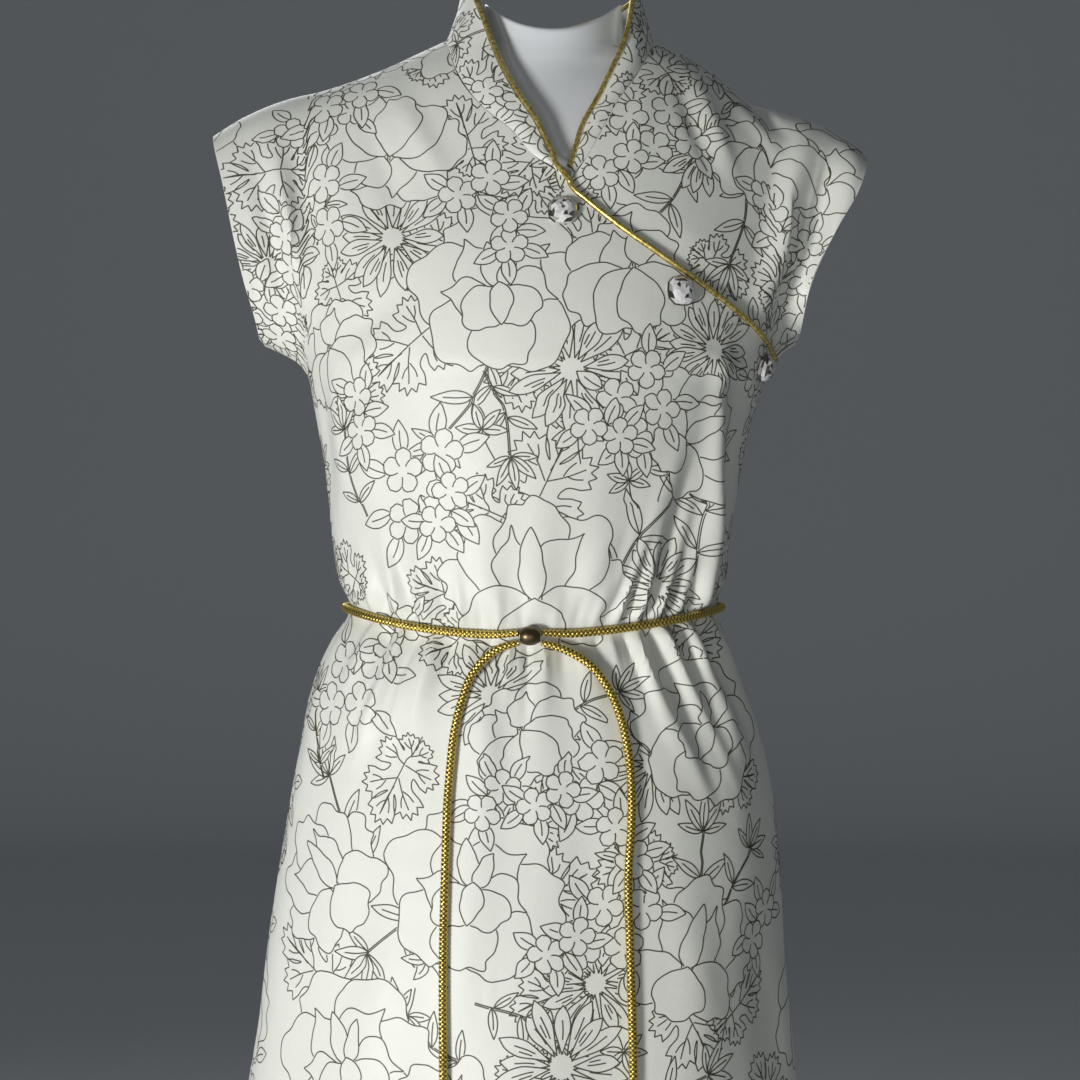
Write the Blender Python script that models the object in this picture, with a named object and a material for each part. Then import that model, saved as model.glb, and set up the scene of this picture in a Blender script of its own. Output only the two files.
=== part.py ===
"""A wrap-front dress with a stand collar and cap sleeves, worn by a limbless dress form on a stand.

Metres, +Z up. The front faces -Y and the viewer's right is +X. The origin is the centre of the stand's
underside. The front and back panels are walls worked out from one table of body sections, a shoulder
ridge and an underarm line. The collar, pipings, buttons and belt are placed on the panels' points.
"""

import math

import bpy
import numpy as np

for old in list(bpy.data.objects):
    bpy.data.objects.remove(old, do_unlink=True)

# Cloth
WALL = 0.0012
SEAM = 0.0003
ARMPIT = 1.173
FOLD_FADE = 8  # how close to a seam the folds still run: a higher power runs them closer

# Levels of the dress. The waist is where the cord lies at the side seams
SECTION_COLUMNS = ("level", "centre", "half_width", "front", "back")
SECTIONS = (
    (0.460, -0.008, 0.216, 0.166, 0.167),
    (0.560, -0.011, 0.204, 0.156, 0.158),
    (0.697, -0.0125, 0.187, 0.139, 0.142),
    (0.735, -0.0112, 0.182, 0.134, 0.138),
    (0.790, -0.0097, 0.1773, 0.127, 0.132),
    (0.845, -0.0070, 0.1718, 0.119, 0.127),
    (0.900, -0.0055, 0.1642, 0.111, 0.120),
    (0.928, -0.0060, 0.1584, 0.107, 0.114),
    (0.956, -0.0083, 0.1510, 0.103, 0.107),
    (0.983, -0.0090, 0.1414, 0.099, 0.098),
    (0.997, -0.0072, 0.1363, 0.096, 0.092),
    (1.020, -0.0045, 0.1262, 0.090, 0.083),
    (1.038, -0.0052, 0.1330, 0.096, 0.088),
    (1.066, -0.0059, 0.1370, 0.100, 0.090),
    (1.094, -0.0052, 0.1404, 0.104, 0.093),
    (1.121, -0.0045, 0.1445, 0.108, 0.097),
    (1.149, -0.0038, 0.1500, 0.111, 0.100),
    (1.173, -0.0020, 0.1560, 0.113, 0.103),
    (1.200, -0.0010, 0.1600, 0.113, 0.105),
    (1.250, 0.0000, 0.1640, 0.109, 0.105),
    (1.300, 0.0020, 0.1660, 0.100, 0.103),
    (1.350, 0.0030, 0.1670, 0.098, 0.104),
    (1.420, 0.0040, 0.1670, 0.098, 0.104),
)

# Shoulder ridge, from the viewer's left sleeve tip over the neck to the right one
RIDGE = (
    # x, height
    (-0.2243, 1.3440),
    (-0.2070, 1.3550),
    (-0.1746, 1.3690),
    (-0.1490, 1.3752),
    (-0.1125, 1.3876),
    (-0.0773, 1.4032),
    (-0.0645, 1.4090),
    (0.0060, 1.4200),
    (0.0775, 1.4090),
    (0.0880, 1.4045),
    (0.1145, 1.3900),
    (0.1330, 1.3755),
    (0.1450, 1.3672),
    (0.1635, 1.3607),
    (0.1987, 1.3484),
    (0.2120, 1.3410),
    (0.2243, 1.3290),
)

# Underarm line, from the side of the body out to the sleeve's lower corner
UNDERARM_LEFT = (
    # x, height
    (-0.1580, ARMPIT),
    (-0.1600, 1.1790),
    (-0.1656, 1.1870),
    (-0.1780, 1.1945),
    (-0.1918, 1.2006),
)
UNDERARM_RIGHT = (
    (0.1540, ARMPIT),
    (0.1566, 1.1790),
    (0.1608, 1.1870),
    (0.1680, 1.1955),
    (0.1787, 1.2026),
)

# Sleeve openings, from the lower corner to the tip
HEM_LEFT = (
    (-0.1918, 1.2006),
    (-0.1925, 1.2110),
    (-0.1990, 1.2400),
    (-0.2040, 1.2640),
    (-0.2130, 1.3060),
    (-0.2243, 1.3440),
)
HEM_RIGHT = (
    (0.1787, 1.2026),
    (0.1784, 1.2130),
    (0.1825, 1.2400),
    (0.1980, 1.2730),
    (0.2150, 1.3030),
    (0.2243, 1.3290),
)
SLEEVE_DEPTH = 0.045

# Neck seam and the edge of the overlap, as x and height seen from the front
NECK_LEFT = (
    (-0.0645, 1.4090),
    (-0.0605, 1.3930),
    (-0.0540, 1.3730),
    (-0.0396, 1.3522),
    (-0.0177, 1.3322),
    (-0.0026, 1.3141),
    (0.0156, 1.3018),
)
OVERLAP_EDGE = (
    (0.0156, 1.3018),
    (0.0195, 1.2925),
    (0.0289, 1.2838),
    (0.0502, 1.2665),
    (0.0761, 1.2486),
    (0.1023, 1.2316),
    (0.1265, 1.2156),
    (0.1450, 1.2022),
    (0.1608, 1.1880),
)
NECK_RIGHT = (
    (0.0200, 1.2990),
    (0.0300, 1.3140),
    (0.0406, 1.3340),
    (0.0520, 1.3560),
    (0.0650, 1.3760),
    (0.0735, 1.3950),
    (0.0775, 1.4090),
)
NECK_BACK = (
    (0.0775, 1.4090),
    (0.0700, 1.4000),
    (0.0450, 1.3890),
    (0.0060, 1.3850),
    (-0.0330, 1.3890),
    (-0.0570, 1.4000),
    (-0.0645, 1.4090),
)
UNDERLAP_EDGE = (
    (0.0080, 1.2830),
    (0.0240, 1.2660),
    (0.0500, 1.2470),
    (0.0900, 1.2220),
    (0.1250, 1.1980),
    (0.1450, 1.1800),
    (0.1540, ARMPIT),
)
UNDERLAP_DROP = 0.0023
UNDERLAP_RISE = (0.006, 0.035)

# Gathers and folds
WAIST = 1.020
BELT_DIP = 0.0155
DIP_SPREAD = 0.055
GATHERS = 20
GATHER_HEIGHT = 0.0022
GATHER_BELOW = 0.075
GATHER_ABOVE = 0.040
HEM = 0.460
FLUTES = 9
FLUTE_HEIGHT = 0.008
FLUTE_START = 0.880
FRONT_FOLDS = (
    # top x, top height, foot x, foot height, half width, height
    (0.118, 1.120, 0.112, 1.030, 0.009, 0.0040),
    (0.062, 1.090, 0.018, 1.016, 0.010, 0.0030),
    (-0.120, 1.180, -0.112, 1.060, 0.012, 0.0030),
    (0.064, 1.000, 0.122, 0.880, 0.009, 0.0045),
    (0.098, 1.002, 0.146, 0.900, 0.008, 0.0050),
    (-0.094, 1.000, -0.128, 0.910, 0.009, 0.0040),
    (-0.030, 0.996, -0.040, 0.860, 0.010, 0.0030),
    (0.168, 1.320, 0.146, 1.215, 0.007, 0.0040),
    (0.190, 1.310, 0.166, 1.220, 0.006, 0.0035),
    (-0.172, 1.320, -0.158, 1.215, 0.010, 0.0040),
)
BACK_FOLDS = (
    (0.105, 1.160, 0.080, 1.035, 0.012, 0.0035),
    (-0.105, 1.160, -0.086, 1.035, 0.012, 0.0035),
    (0.020, 1.120, 0.004, 1.030, 0.011, 0.0030),
    (0.070, 1.000, 0.110, 0.860, 0.010, 0.0045),
    (-0.070, 1.000, -0.108, 0.870, 0.010, 0.0045),
    (0.172, 1.320, 0.156, 1.215, 0.008, 0.0035),
    (-0.172, 1.320, -0.158, 1.215, 0.008, 0.0035),
)

# Collar band. Each row gives the top edge's place above a point of the neck seam
COLLAR_LEFT = (
    # seam x, seam height, top x, top y, top height
    (0.0136, 1.3036, 0.0150, -0.0880, 1.3086),
    (-0.0026, 1.3141, 0.0078, -0.0850, 1.3170),
    (-0.0177, 1.3322, -0.0010, -0.0780, 1.3395),
    (-0.0396, 1.3522, -0.0158, -0.0680, 1.3630),
    (-0.0500, 1.3670, -0.0266, -0.0590, 1.3810),
    (-0.0560, 1.3790, -0.0334, -0.0510, 1.3960),
    (-0.0605, 1.3930, -0.0400, -0.0410, 1.4160),
    (-0.0637, 1.4050, -0.0455, -0.0290, 1.4315),
)
COLLAR_BACK = (
    (-0.0625, 1.4070, -0.0525, -0.0080, 1.4410),
    (-0.0570, 1.4000, -0.0550, 0.0180, 1.4430),
    (-0.0330, 1.3890, -0.0340, 0.0420, 1.4350),
    (0.0060, 1.3850, 0.0060, 0.0510, 1.4270),
    (0.0450, 1.3890, 0.0470, 0.0420, 1.4350),
    (0.0700, 1.4000, 0.0690, 0.0180, 1.4430),
    (0.0755, 1.4070, 0.0680, -0.0080, 1.4410),
)
COLLAR_RIGHT = (
    (0.0768, 1.4050, 0.0625, -0.0290, 1.4315),
    (0.0735, 1.3950, 0.0590, -0.0400, 1.4160),
    (0.0690, 1.3840, 0.0548, -0.0490, 1.3990),
    (0.0610, 1.3700, 0.0470, -0.0570, 1.3800),
    (0.0520, 1.3560, 0.0375, -0.0650, 1.3590),
    (0.0406, 1.3340, 0.0258, -0.0730, 1.3375),
    (0.0300, 1.3140, 0.0208, -0.0790, 1.3200),
    (0.0240, 1.3060, 0.0185, -0.0830, 1.3110),
)

COLLAR_GAP = 0.0010
COLLAR_BULGE = 0.0015

# Trim
PIPING_RADIUS = 0.0017
BUTTON_SIZE = 0.0195
BUTTON_HEIGHT = 0.0075
BUTTON_CLEAR = 0.0004
BUTTONS = (
    # x, height
    (0.0145, 1.2765),
    (0.0897, 1.2260),
    (0.1495, 1.1820),
)

# Cord belt
CORD = 0.0054
CORD_CLEAR = 0.0006
BEAD_CENTRE_X = -0.0064
BEAD_LENGTH = 0.0130
BEAD_DIAMETER = 0.0125
BEAD_END = 0.0095
CORD_AT_BEAD = 0.72
CORD_OFFSET_AT_BEAD = 0.0021
PINCH_AT_BEAD = 0.016
TAIL_CLEAR = 0.0009
TAIL_LEFT = (
    # x, height. The cord lies on the skirt, so its depth follows from these
    (-0.0137, 1.0000),
    (-0.0290, 0.9950),
    (-0.0420, 0.9820),
    (-0.0520, 0.9560),
    (-0.0580, 0.9120),
    (-0.0600, 0.8600),
    (-0.0610, 0.8000),
    (-0.0605, 0.7325),
    (-0.0590, 0.6500),
    (-0.0610, 0.5750),
    (-0.0620, 0.5060),
)
TAIL_RIGHT = (
    (0.0009, 1.0000),
    (0.0170, 0.9950),
    (0.0340, 0.9840),
    (0.0480, 0.9620),
    (0.0565, 0.9300),
    (0.0585, 0.8950),
    (0.0560, 0.8525),
    (0.0570, 0.8043),
    (0.0585, 0.7325),
    (0.0570, 0.6500),
    (0.0590, 0.5750),
    (0.0600, 0.5200),
)
TAIL_POINTS = 38
KNOT = 0.0110

# Dress form and its stand
FORM_SECTIONS = (
    # height, half width, front, back
    (0.7800, 0.150, 0.097, 0.105),
    (0.7900, 0.158, 0.103, 0.112),
    (0.8600, 0.158, 0.106, 0.116),
    (0.9200, 0.146, 0.098, 0.104),
    (0.9700, 0.127, 0.088, 0.088),
    (1.0200, 0.112, 0.079, 0.072),
    (1.0700, 0.118, 0.083, 0.076),
    (1.1200, 0.132, 0.095, 0.085),
    (1.1730, 0.146, 0.107, 0.094),
    (1.2200, 0.155, 0.103, 0.096),
    (1.2600, 0.158, 0.095, 0.094),
    (1.3000, 0.158, 0.0815, 0.0830),
    (1.3300, 0.154, 0.0710, 0.0750),
    (1.3500, 0.145, 0.0625, 0.0675),
    (1.3650, 0.134, 0.0550, 0.0590),
    (1.3750, 0.1235, 0.0490, 0.0530),
    (1.3850, 0.1095, 0.0420, 0.0460),
    (1.3920, 0.0970, 0.0370, 0.0410),
    (1.3970, 0.0835, 0.0315, 0.0350),
    (1.4010, 0.0670, 0.0250, 0.0280),
    (1.4034, 0.0450, 0.0150, 0.0170),
)
FORM_SIDES = 36
NECK_CENTRE = 0.0090
NECK_HALF_WIDTH = 0.0470
NECK_FRONT = 0.0480
NECK_BACK_DEPTH = 0.0400
NECK_TOP = 1.4080
NECK_BEND = 0.0520
NECK_LIP = 0.0040
NECK_START = 1.300
BLEND = 8
POLE_RADIUS = 0.0125
BASE_RADIUS = 0.165
BASE_THICKNESS = 0.012
BASE_EDGE = 0.003


def curve(xs, ys, at):
    """Cubic curve through the points (xs, ys), with slopes from their neighbours, read at `at`."""
    xs = np.asarray(xs, float)
    ys = np.asarray(ys, float)
    slopes = np.gradient(ys, xs)
    i = np.clip(np.searchsorted(xs, at) - 1, 0, len(xs) - 2)
    step = xs[i + 1] - xs[i]
    t = np.clip((at - xs[i]) / step, 0, 1)
    start = (1 + 2 * t) * (1 - t) ** 2 * ys[i] + t * (1 - t) ** 2 * step * slopes[i]
    end = t * t * (3 - 2 * t) * ys[i + 1] + t * t * (t - 1) * step * slopes[i + 1]
    return start + end


def section(name, level):
    """A column of the section table at these levels."""
    column = SECTION_COLUMNS.index(name)
    rows = np.array(SECTIONS)
    return curve(rows[:, 0], rows[:, column], level)


def along(points, count):
    """`count` + 1 points spaced evenly along a smooth curve through `points`."""
    points = np.array(points, float)
    run = np.concatenate([[0], np.cumsum(np.linalg.norm(np.diff(points, axis=0), axis=1))])
    at = np.linspace(0, run[-1], count + 1)
    return np.stack([curve(run, points[:, k], at) for k in range(points.shape[1])], axis=-1)


def joined(*edges):
    """Edges end to end, each without its first point but the first."""
    return np.concatenate([edges[0]] + [edge[1:] for edge in edges[1:]])


def ease(t):
    """0 to 1 with level ends."""
    t = np.clip(t, 0, 1)
    return t * t * (3 - 2 * t)


def underarm_height(x):
    """Height of the underarm line, which carries on down inside the body."""
    rows = np.array(UNDERARM_LEFT[::-1] + ((0.0, 1.100),) + UNDERARM_RIGHT)
    return np.interp(x, rows[:, 0], rows[:, 1])


def depth(x, z, side):
    """How far the cloth stands from the plane of the side seams, above the armpit.

    The body is an ellipse across, rounded over to the ridge. The sleeve is an ellipse between the
    underarm line and the ridge. The cloth lies over both: the cube root of the sum of their cubes.
    """
    ridge = curve(*np.array(RIDGE).T, x)
    across = np.clip((x - section("centre", z)) / section("half_width", z), -1, 1)
    rise = np.clip((z - ARMPIT) / (ridge - ARMPIT), 0, 1)
    body = section(side, z) * np.sqrt(1 - across**2) * np.sqrt(1 - rise**2)
    low = underarm_height(x)
    part = np.clip((z - low) / (ridge - low), 0, 1)
    sleeve = SLEEVE_DEPTH * np.sqrt(1 - (2 * part - 1) ** 2)
    return np.cbrt(body**3 + sleeve**3)


def dip(turn, level):
    """How far the belt's sag pulls the cloth down at a turn round the body, 0 at the front."""
    sag = BELT_DIP * np.clip(np.cos(turn), 0, 1) ** 2 * (1 - 0.15 * np.sin(turn))
    return sag * np.exp(-(((level - WAIST) / DIP_SPREAD) ** 2))


def skirt_wave(turn, level):
    """Gathers under and over the belt, fading away from it, and soft flutes that grow to the hem."""
    below = np.exp(-(WAIST - level) / GATHER_BELOW)
    above = np.exp(-(level - WAIST) / GATHER_ABOVE)
    away = np.abs(level - WAIST)
    pinch = ease((away - 0.004) / 0.022)
    strength = GATHER_HEIGHT * pinch * np.where(level < WAIST, below, above)
    gathers = strength * np.sin(GATHERS * turn + 1.4 * np.sin(3 * turn) + 0.6)
    drop = np.clip((FLUTE_START - level) / (FLUTE_START - HEM), 0, 1) ** 1.4
    flutes = FLUTE_HEIGHT * drop * np.cos(FLUTES * turn + 0.7 * np.sin(2 * turn))
    return gathers + flutes


def fold_height(x, z, folds):
    """Soft ridges, each along a line seen from the front or back, bell-shaped across and tapering."""
    total = np.zeros_like(x)
    for top_x, top_z, foot_x, foot_z, width, height in folds:
        run = np.array([foot_x - top_x, foot_z - top_z])
        length = np.hypot(*run)
        ux, uz = run / length
        t = ((x - top_x) * ux + (z - top_z) * uz) / length
        off = (x - top_x) * uz - (z - top_z) * ux
        total += height * np.exp(-((off / width) ** 2)) * ease(1 - np.abs(2 * t - 1))
    return total


def facing(grid):
    """Unit normals of a grid of points. At a seam they lie in the plane of the seam."""
    across = np.gradient(grid, axis=1)
    up = np.gradient(grid, axis=0)
    normal = np.cross(across, up)
    normal[np.abs(grid[..., 1]) < 2 * SEAM, 1] = 0
    return normal / np.linalg.norm(normal, axis=-1, keepdims=True)


def patch(bottom, top, left, right):
    """Coons patch between four edges, which share their corners."""
    s = np.linspace(0, 1, len(bottom))[None, :, None]
    t = (1 - (1 - np.linspace(0, 1, len(left))) ** 2)[:, None, None]
    between = (1 - t) * bottom[None] + t * top[None]
    beside = (1 - s) * left[:, None] + s * right[:, None]
    low = (1 - s) * bottom[0] + s * bottom[-1]
    high = (1 - s) * top[0] + s * top[-1]
    return between + beside - (1 - t) * low - t * high


def squared(points):
    """The spacing that the patch gives its rows, on an edge whose points are evenly spaced."""
    t = np.linspace(0, 1, len(points))
    at = 1 - (1 - t) ** 2
    return np.stack([np.interp(at, t, points[:, k]) for k in range(2)], axis=-1)


def body_rows(levels, turns, side):
    """Rows of a panel below the armpit, at turns round the body from 0 at the front."""
    level, turn = np.meshgrid(levels, turns, indexing="ij")
    wave = skirt_wave(turn, level) * np.abs(np.cos(turn)) ** 0.5
    x = section("centre", level) + (section("half_width", level) + wave) * np.sin(turn)
    y = -(section(side, level) + wave) * np.cos(turn)
    return np.stack([x, y, level - dip(turn, level)], axis=-1)


def raised(plane, sign):
    """The cloth's points over a grid of (x, height) above the armpit."""
    side = "front" if sign < 0 else "back"
    y = sign * np.maximum(depth(plane[..., 0], plane[..., 1], side), SEAM / 2)
    return np.stack([plane[..., 0], y, plane[..., 1]], axis=-1)


def folded(grid, folds):
    """The grid with its folds, which die out at its edges."""
    rows, columns = grid.shape[:2]
    s = np.linspace(-1, 1, columns)[None, :]
    t = np.linspace(0, 1, rows)[:, None]
    inside = (1 - s**FOLD_FADE) * ease((1 - t) / 0.08)
    height = fold_height(grid[..., 0], grid[..., 2], folds) * inside
    return grid + facing(grid) * height[..., None]


def new_material(name, colour, roughness, metallic=0.0, transmission=0.0):
    material = bpy.data.materials.new(name)
    material.use_nodes = True
    shader = material.node_tree.nodes["Principled BSDF"]
    shader.inputs["Base Color"].default_value = (*colour, 1)
    shader.inputs["Roughness"].default_value = roughness
    shader.inputs["Metallic"].default_value = metallic
    shader.inputs["Transmission Weight"].default_value = transmission
    return material


def solid(name, points, faces, material):
    """An object from points and faces."""
    mesh = bpy.data.meshes.new(name)
    mesh.from_pydata([tuple(p) for p in np.asarray(points, float)], [], faces)
    mesh.materials.append(material)
    mesh.shade_smooth()
    mesh.set_sharp_from_angle(angle=math.radians(40))
    made = bpy.data.objects.new(name, mesh)
    bpy.context.scene.collection.objects.link(made)
    return made


def wall(name, outer, inner, material):
    """A closed wall between an outer and an inner grid of the same size."""
    rows, columns = outer.shape[:2]
    inside = rows * columns

    def at(r, c):
        return r * columns + c

    faces = []
    for r in range(rows - 1):
        for c in range(columns - 1):
            cell = (at(r, c), at(r, c + 1), at(r + 1, c + 1), at(r + 1, c))
            faces.append(cell)
            faces.append(tuple(k + inside for k in reversed(cell)))
    border = [at(0, c) for c in range(columns)]
    border += [at(r, columns - 1) for r in range(1, rows)]
    border += [at(rows - 1, c) for c in range(columns - 2, -1, -1)]
    border += [at(r, 0) for r in range(rows - 2, 0, -1)]
    for a, b in zip(border, border[1:] + border[:1]):
        faces.append((b, a, a + inside, b + inside))
    points = np.concatenate([outer.reshape(-1, 3), inner.reshape(-1, 3)])
    return solid(name, points, faces, material)


def tube(name, points, radius, material, radii=None, rounding=2):
    """A round cord or piping along points, with closed ends."""
    data = bpy.data.curves.new(name, "CURVE")
    data.dimensions = "3D"
    data.bevel_depth = radius
    data.bevel_resolution = rounding
    data.use_fill_caps = True
    spline = data.splines.new("POLY")
    spline.points.add(len(points) - 1)
    for k, point in enumerate(points):
        spline.points[k].co = (*point, 1)
        spline.points[k].radius = 1 if radii is None else radii[k]
    data.materials.append(material)
    made = bpy.data.objects.new(name, data)
    bpy.context.scene.collection.objects.link(made)
    return made


def turned(name, rings, material):
    """A closed body from rings of points, each ring in the same order, low to high."""
    sides = len(rings[0])
    faces = [tuple(range(sides - 1, -1, -1))]
    for r in range(len(rings) - 1):
        for k in range(sides):
            nxt = (k + 1) % sides
            a, b = r * sides, (r + 1) * sides
            faces.append((a + k, a + nxt, b + nxt, b + k))
    last = (len(rings) - 1) * sides
    faces.append(tuple(last + k for k in range(sides)))
    return solid(name, np.concatenate(rings), faces, material)


def panel_surface(x, z):
    """Point and normal of the front cloth above the armpit, at x and height seen from the front."""
    step = 0.0005
    xs, zs = np.meshgrid([x - step, x, x + step], [z - step, z, z + step])
    grid = raised(np.stack([xs, zs], axis=-1), -1)
    return grid[1, 1], facing(grid)[1, 1]


cloth = new_material("ivory_print_cloth", (0.80, 0.80, 0.74), 0.42)
gold = new_material("gold_lame", (0.72, 0.54, 0.12), 0.32, 0.9)
bronze = new_material("dark_bronze", (0.16, 0.12, 0.07), 0.38, 0.9)
crystal = new_material("clear_crystal", (0.94, 0.95, 0.96), 0.04, 0.0, 0.9)
plastic = new_material("gloss_white_plastic", (0.82, 0.81, 0.85), 0.22)
steel = new_material("painted_steel", (0.80, 0.80, 0.81), 0.35, 0.2)

# Front panel: the whole front with the left cap sleeve, cut in one, its upper right edge overlapping
FRONT_LEVELS = (
    0.460, 0.530, 0.600, 0.665, 0.725, 0.780, 0.830, 0.872, 0.906, 0.932, 0.954, 0.972, 0.987,
    0.999, 1.009, 1.020, 1.031, 1.043, 1.060, 1.084, 1.112, 1.142, ARMPIT,
)
SHOULDER_COLUMNS = 14
NECK_COLUMNS = 12
OVERLAP_COLUMNS = 18
SIDE_ROWS = 3
SLEEVE_ROWS = 8
front_columns = SHOULDER_COLUMNS + NECK_COLUMNS + OVERLAP_COLUMNS
upper_rows = SIDE_ROWS + SLEEVE_ROWS
seam_turn = math.pi / 2 - math.asin(SEAM / 2 / 0.11)
turns = np.linspace(-seam_turn, seam_turn, front_columns + 1)
front_low = body_rows(FRONT_LEVELS, turns, "front")
left_shoulder = np.array([row for row in RIDGE if row[0] <= NECK_LEFT[0][0]])
top = joined(
    along(left_shoulder, SHOULDER_COLUMNS),
    along(NECK_LEFT, NECK_COLUMNS),
    along(OVERLAP_EDGE, OVERLAP_COLUMNS),
)
bottom = front_low[-1][:, [0, 2]]
left = squared(joined(along(UNDERARM_LEFT, SIDE_ROWS), along(HEM_LEFT, SLEEVE_ROWS)))
left[0] = bottom[0]
right = squared(along(UNDERARM_RIGHT[:2] + (OVERLAP_EDGE[-1],), upper_rows))
right[0] = bottom[-1]
front_high = raised(patch(bottom, top, left, right), -1)
front_outer = folded(np.concatenate([front_low, front_high[1:]]), FRONT_FOLDS)
front_inner = front_outer - WALL * facing(front_outer)
wall("front_panel", front_outer, front_inner, cloth)

# Under front: the right cap sleeve and shoulder, whose lower edge lies under the overlap
UNDER_COLUMNS = 16
UNDERARM_COLUMNS = 5
UNDER_ROWS = 10


def under_offset(x, z):
    """How far the under front lies inside the cloth's surface: most under the overlap's edge."""
    edge = np.array(OVERLAP_EDGE)
    over = z - np.interp(x, edge[:, 0], edge[:, 1])
    start, end = UNDERLAP_RISE
    return UNDERLAP_DROP * (1 - ease((over - start) / (end - start)))


def laid_under(grid):
    """The grid moved in along its normals to lie under the overlap."""
    return grid - facing(grid) * under_offset(grid[..., 0], grid[..., 2])[..., None]


right_shoulder = np.array([row for row in RIDGE if row[0] >= NECK_BACK[0][0]])
under_left = squared(along((UNDERLAP_EDGE[0],) + NECK_RIGHT, UNDER_ROWS))
under_bottom = joined(
    along(UNDERLAP_EDGE, UNDER_COLUMNS - UNDERARM_COLUMNS),
    along(UNDERARM_RIGHT, UNDERARM_COLUMNS),
)
under_plane = patch(
    under_bottom,
    along(right_shoulder, UNDER_COLUMNS),
    under_left,
    squared(along(HEM_RIGHT, UNDER_ROWS)),
)
under_outer = folded(laid_under(raised(under_plane, -1)), FRONT_FOLDS)
under_inner = under_outer - WALL * facing(under_outer)
wall("under_front", under_outer, under_inner, cloth)

# Back panel: one piece with both back sleeves
BACK_LEVELS = (
    0.460, 0.540, 0.620, 0.700, 0.770, 0.830, 0.880, 0.920, 0.950, 0.975, 0.995, 1.008, 1.020,
    1.032, 1.046, 1.070, 1.105, 1.140, ARMPIT,
)
BACK_SHOULDER_COLUMNS = 11
BACK_NECK_COLUMNS = 10
back_columns = 2 * BACK_SHOULDER_COLUMNS + BACK_NECK_COLUMNS
back_turns = np.linspace(math.pi - seam_turn, math.pi + seam_turn, back_columns + 1)
back_low = body_rows(BACK_LEVELS, back_turns, "back")
back_top = joined(
    along(right_shoulder[::-1], BACK_SHOULDER_COLUMNS),
    along(NECK_BACK, BACK_NECK_COLUMNS),
    along(left_shoulder[::-1], BACK_SHOULDER_COLUMNS),
)
back_bottom = back_low[-1][:, [0, 2]]
back_start = squared(joined(along(UNDERARM_RIGHT, SIDE_ROWS), along(HEM_RIGHT, SLEEVE_ROWS)))
back_end = squared(joined(along(UNDERARM_LEFT, SIDE_ROWS), along(HEM_LEFT, SLEEVE_ROWS)))
back_start[0] = back_bottom[0]
back_end[0] = back_bottom[-1]
back_high = raised(patch(back_bottom, back_top, back_start, back_end), 1)
back_outer = folded(np.concatenate([back_low, back_high[1:]]), BACK_FOLDS)
back_inner = back_outer - WALL * facing(back_outer)
wall("back_panel", back_outer, back_inner, cloth)

# Collar: one band round the neck, tapering to the notch at both front ends
COLLAR_POINTS = 40
COLLAR_ROWS = 4
stations = []
for seam_x, seam_z, *above in COLLAR_LEFT:
    foot, normal = panel_surface(seam_x, seam_z)
    stations.append((*foot, *above))
for seam_x, seam_z, *above in COLLAR_BACK:
    foot = raised(np.array([[seam_x, seam_z]]), 1)[0]
    stations.append((*foot, *above))
for seam_x, seam_z, *above in COLLAR_RIGHT:
    foot, normal = panel_surface(seam_x, seam_z)
    drop = under_offset(seam_x, seam_z)
    stations.append((*(foot - normal * drop), *above))
stations = along(stations, COLLAR_POINTS)
foot, crest = stations[:, :3], stations[:, 3:]
stand = crest - foot
stand_unit = stand / np.linalg.norm(stand, axis=1, keepdims=True)
foot = foot + COLLAR_GAP * stand_unit
t = np.linspace(0, 1, COLLAR_ROWS + 1)[:, None, None]
band = (1 - t) * foot[None] + t * crest[None]
bulge = COLLAR_BULGE * np.sin(math.pi * t)
band = band[:, ::-1]
band_facing = facing(band)
if band_facing[0, COLLAR_POINTS // 2, 1] < 0:
    band = band[:, ::-1]
    band_facing = facing(band)
band = band + band_facing * bulge
wall("collar", band, band - WALL * facing(band), cloth)
crest_line = crest + (PIPING_RADIUS + 2 * SEAM) * stand_unit
tube("collar_piping", crest_line, PIPING_RADIUS, gold, rounding=1)

# Piping along the overlap's edge
edge_points = []
for x, z in along(OVERLAP_EDGE, OVERLAP_COLUMNS)[1:]:
    place, normal = panel_surface(x, z)
    edge_points.append((place, normal))
edge_line = np.array([place for place, normal in edge_points])
run = np.gradient(edge_line, axis=0)
edge_normals = np.array([normal for place, normal in edge_points])
beyond = np.cross(edge_normals, run)
beyond /= np.linalg.norm(beyond, axis=1, keepdims=True)
beyond *= np.sign(beyond[:, 2:3])
edge_line = edge_line + beyond * (PIPING_RADIUS + SEAM) + edge_normals * SEAM
tube("flap_piping", edge_line, PIPING_RADIUS, gold, rounding=1)

# Buttons: cut crystal, square with round corners, a flat table over sloping facets
BUTTON_SIDES = 16
BUTTON_RINGS = (
    # share of the size, share of the height
    (0.80, 0.00),
    (1.00, 0.30),
    (0.96, 0.45),
    (0.55, 1.00),
)
for number, (x, z) in enumerate(BUTTONS, start=1):
    place, normal = panel_surface(x, z)
    upward = np.array([0, 0, 1]) - normal[2] * normal
    upward /= np.linalg.norm(upward)
    sideways = np.cross(upward, normal)
    angle = np.arange(BUTTON_SIDES) / BUTTON_SIDES * 2 * math.pi
    reach = 0.5 * BUTTON_SIZE / (np.abs(np.cos(angle)) ** 3 + np.abs(np.sin(angle)) ** 3) ** (1 / 3)
    rings = []
    for share, high in BUTTON_RINGS:
        ring = place + normal * (BUTTON_CLEAR + high * BUTTON_HEIGHT)
        ring = ring + share * (reach * np.cos(angle))[:, None] * sideways
        rings.append(ring + share * (reach * np.sin(angle))[:, None] * upward)
    turned(f"button_{number}", rings, crystal)


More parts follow.
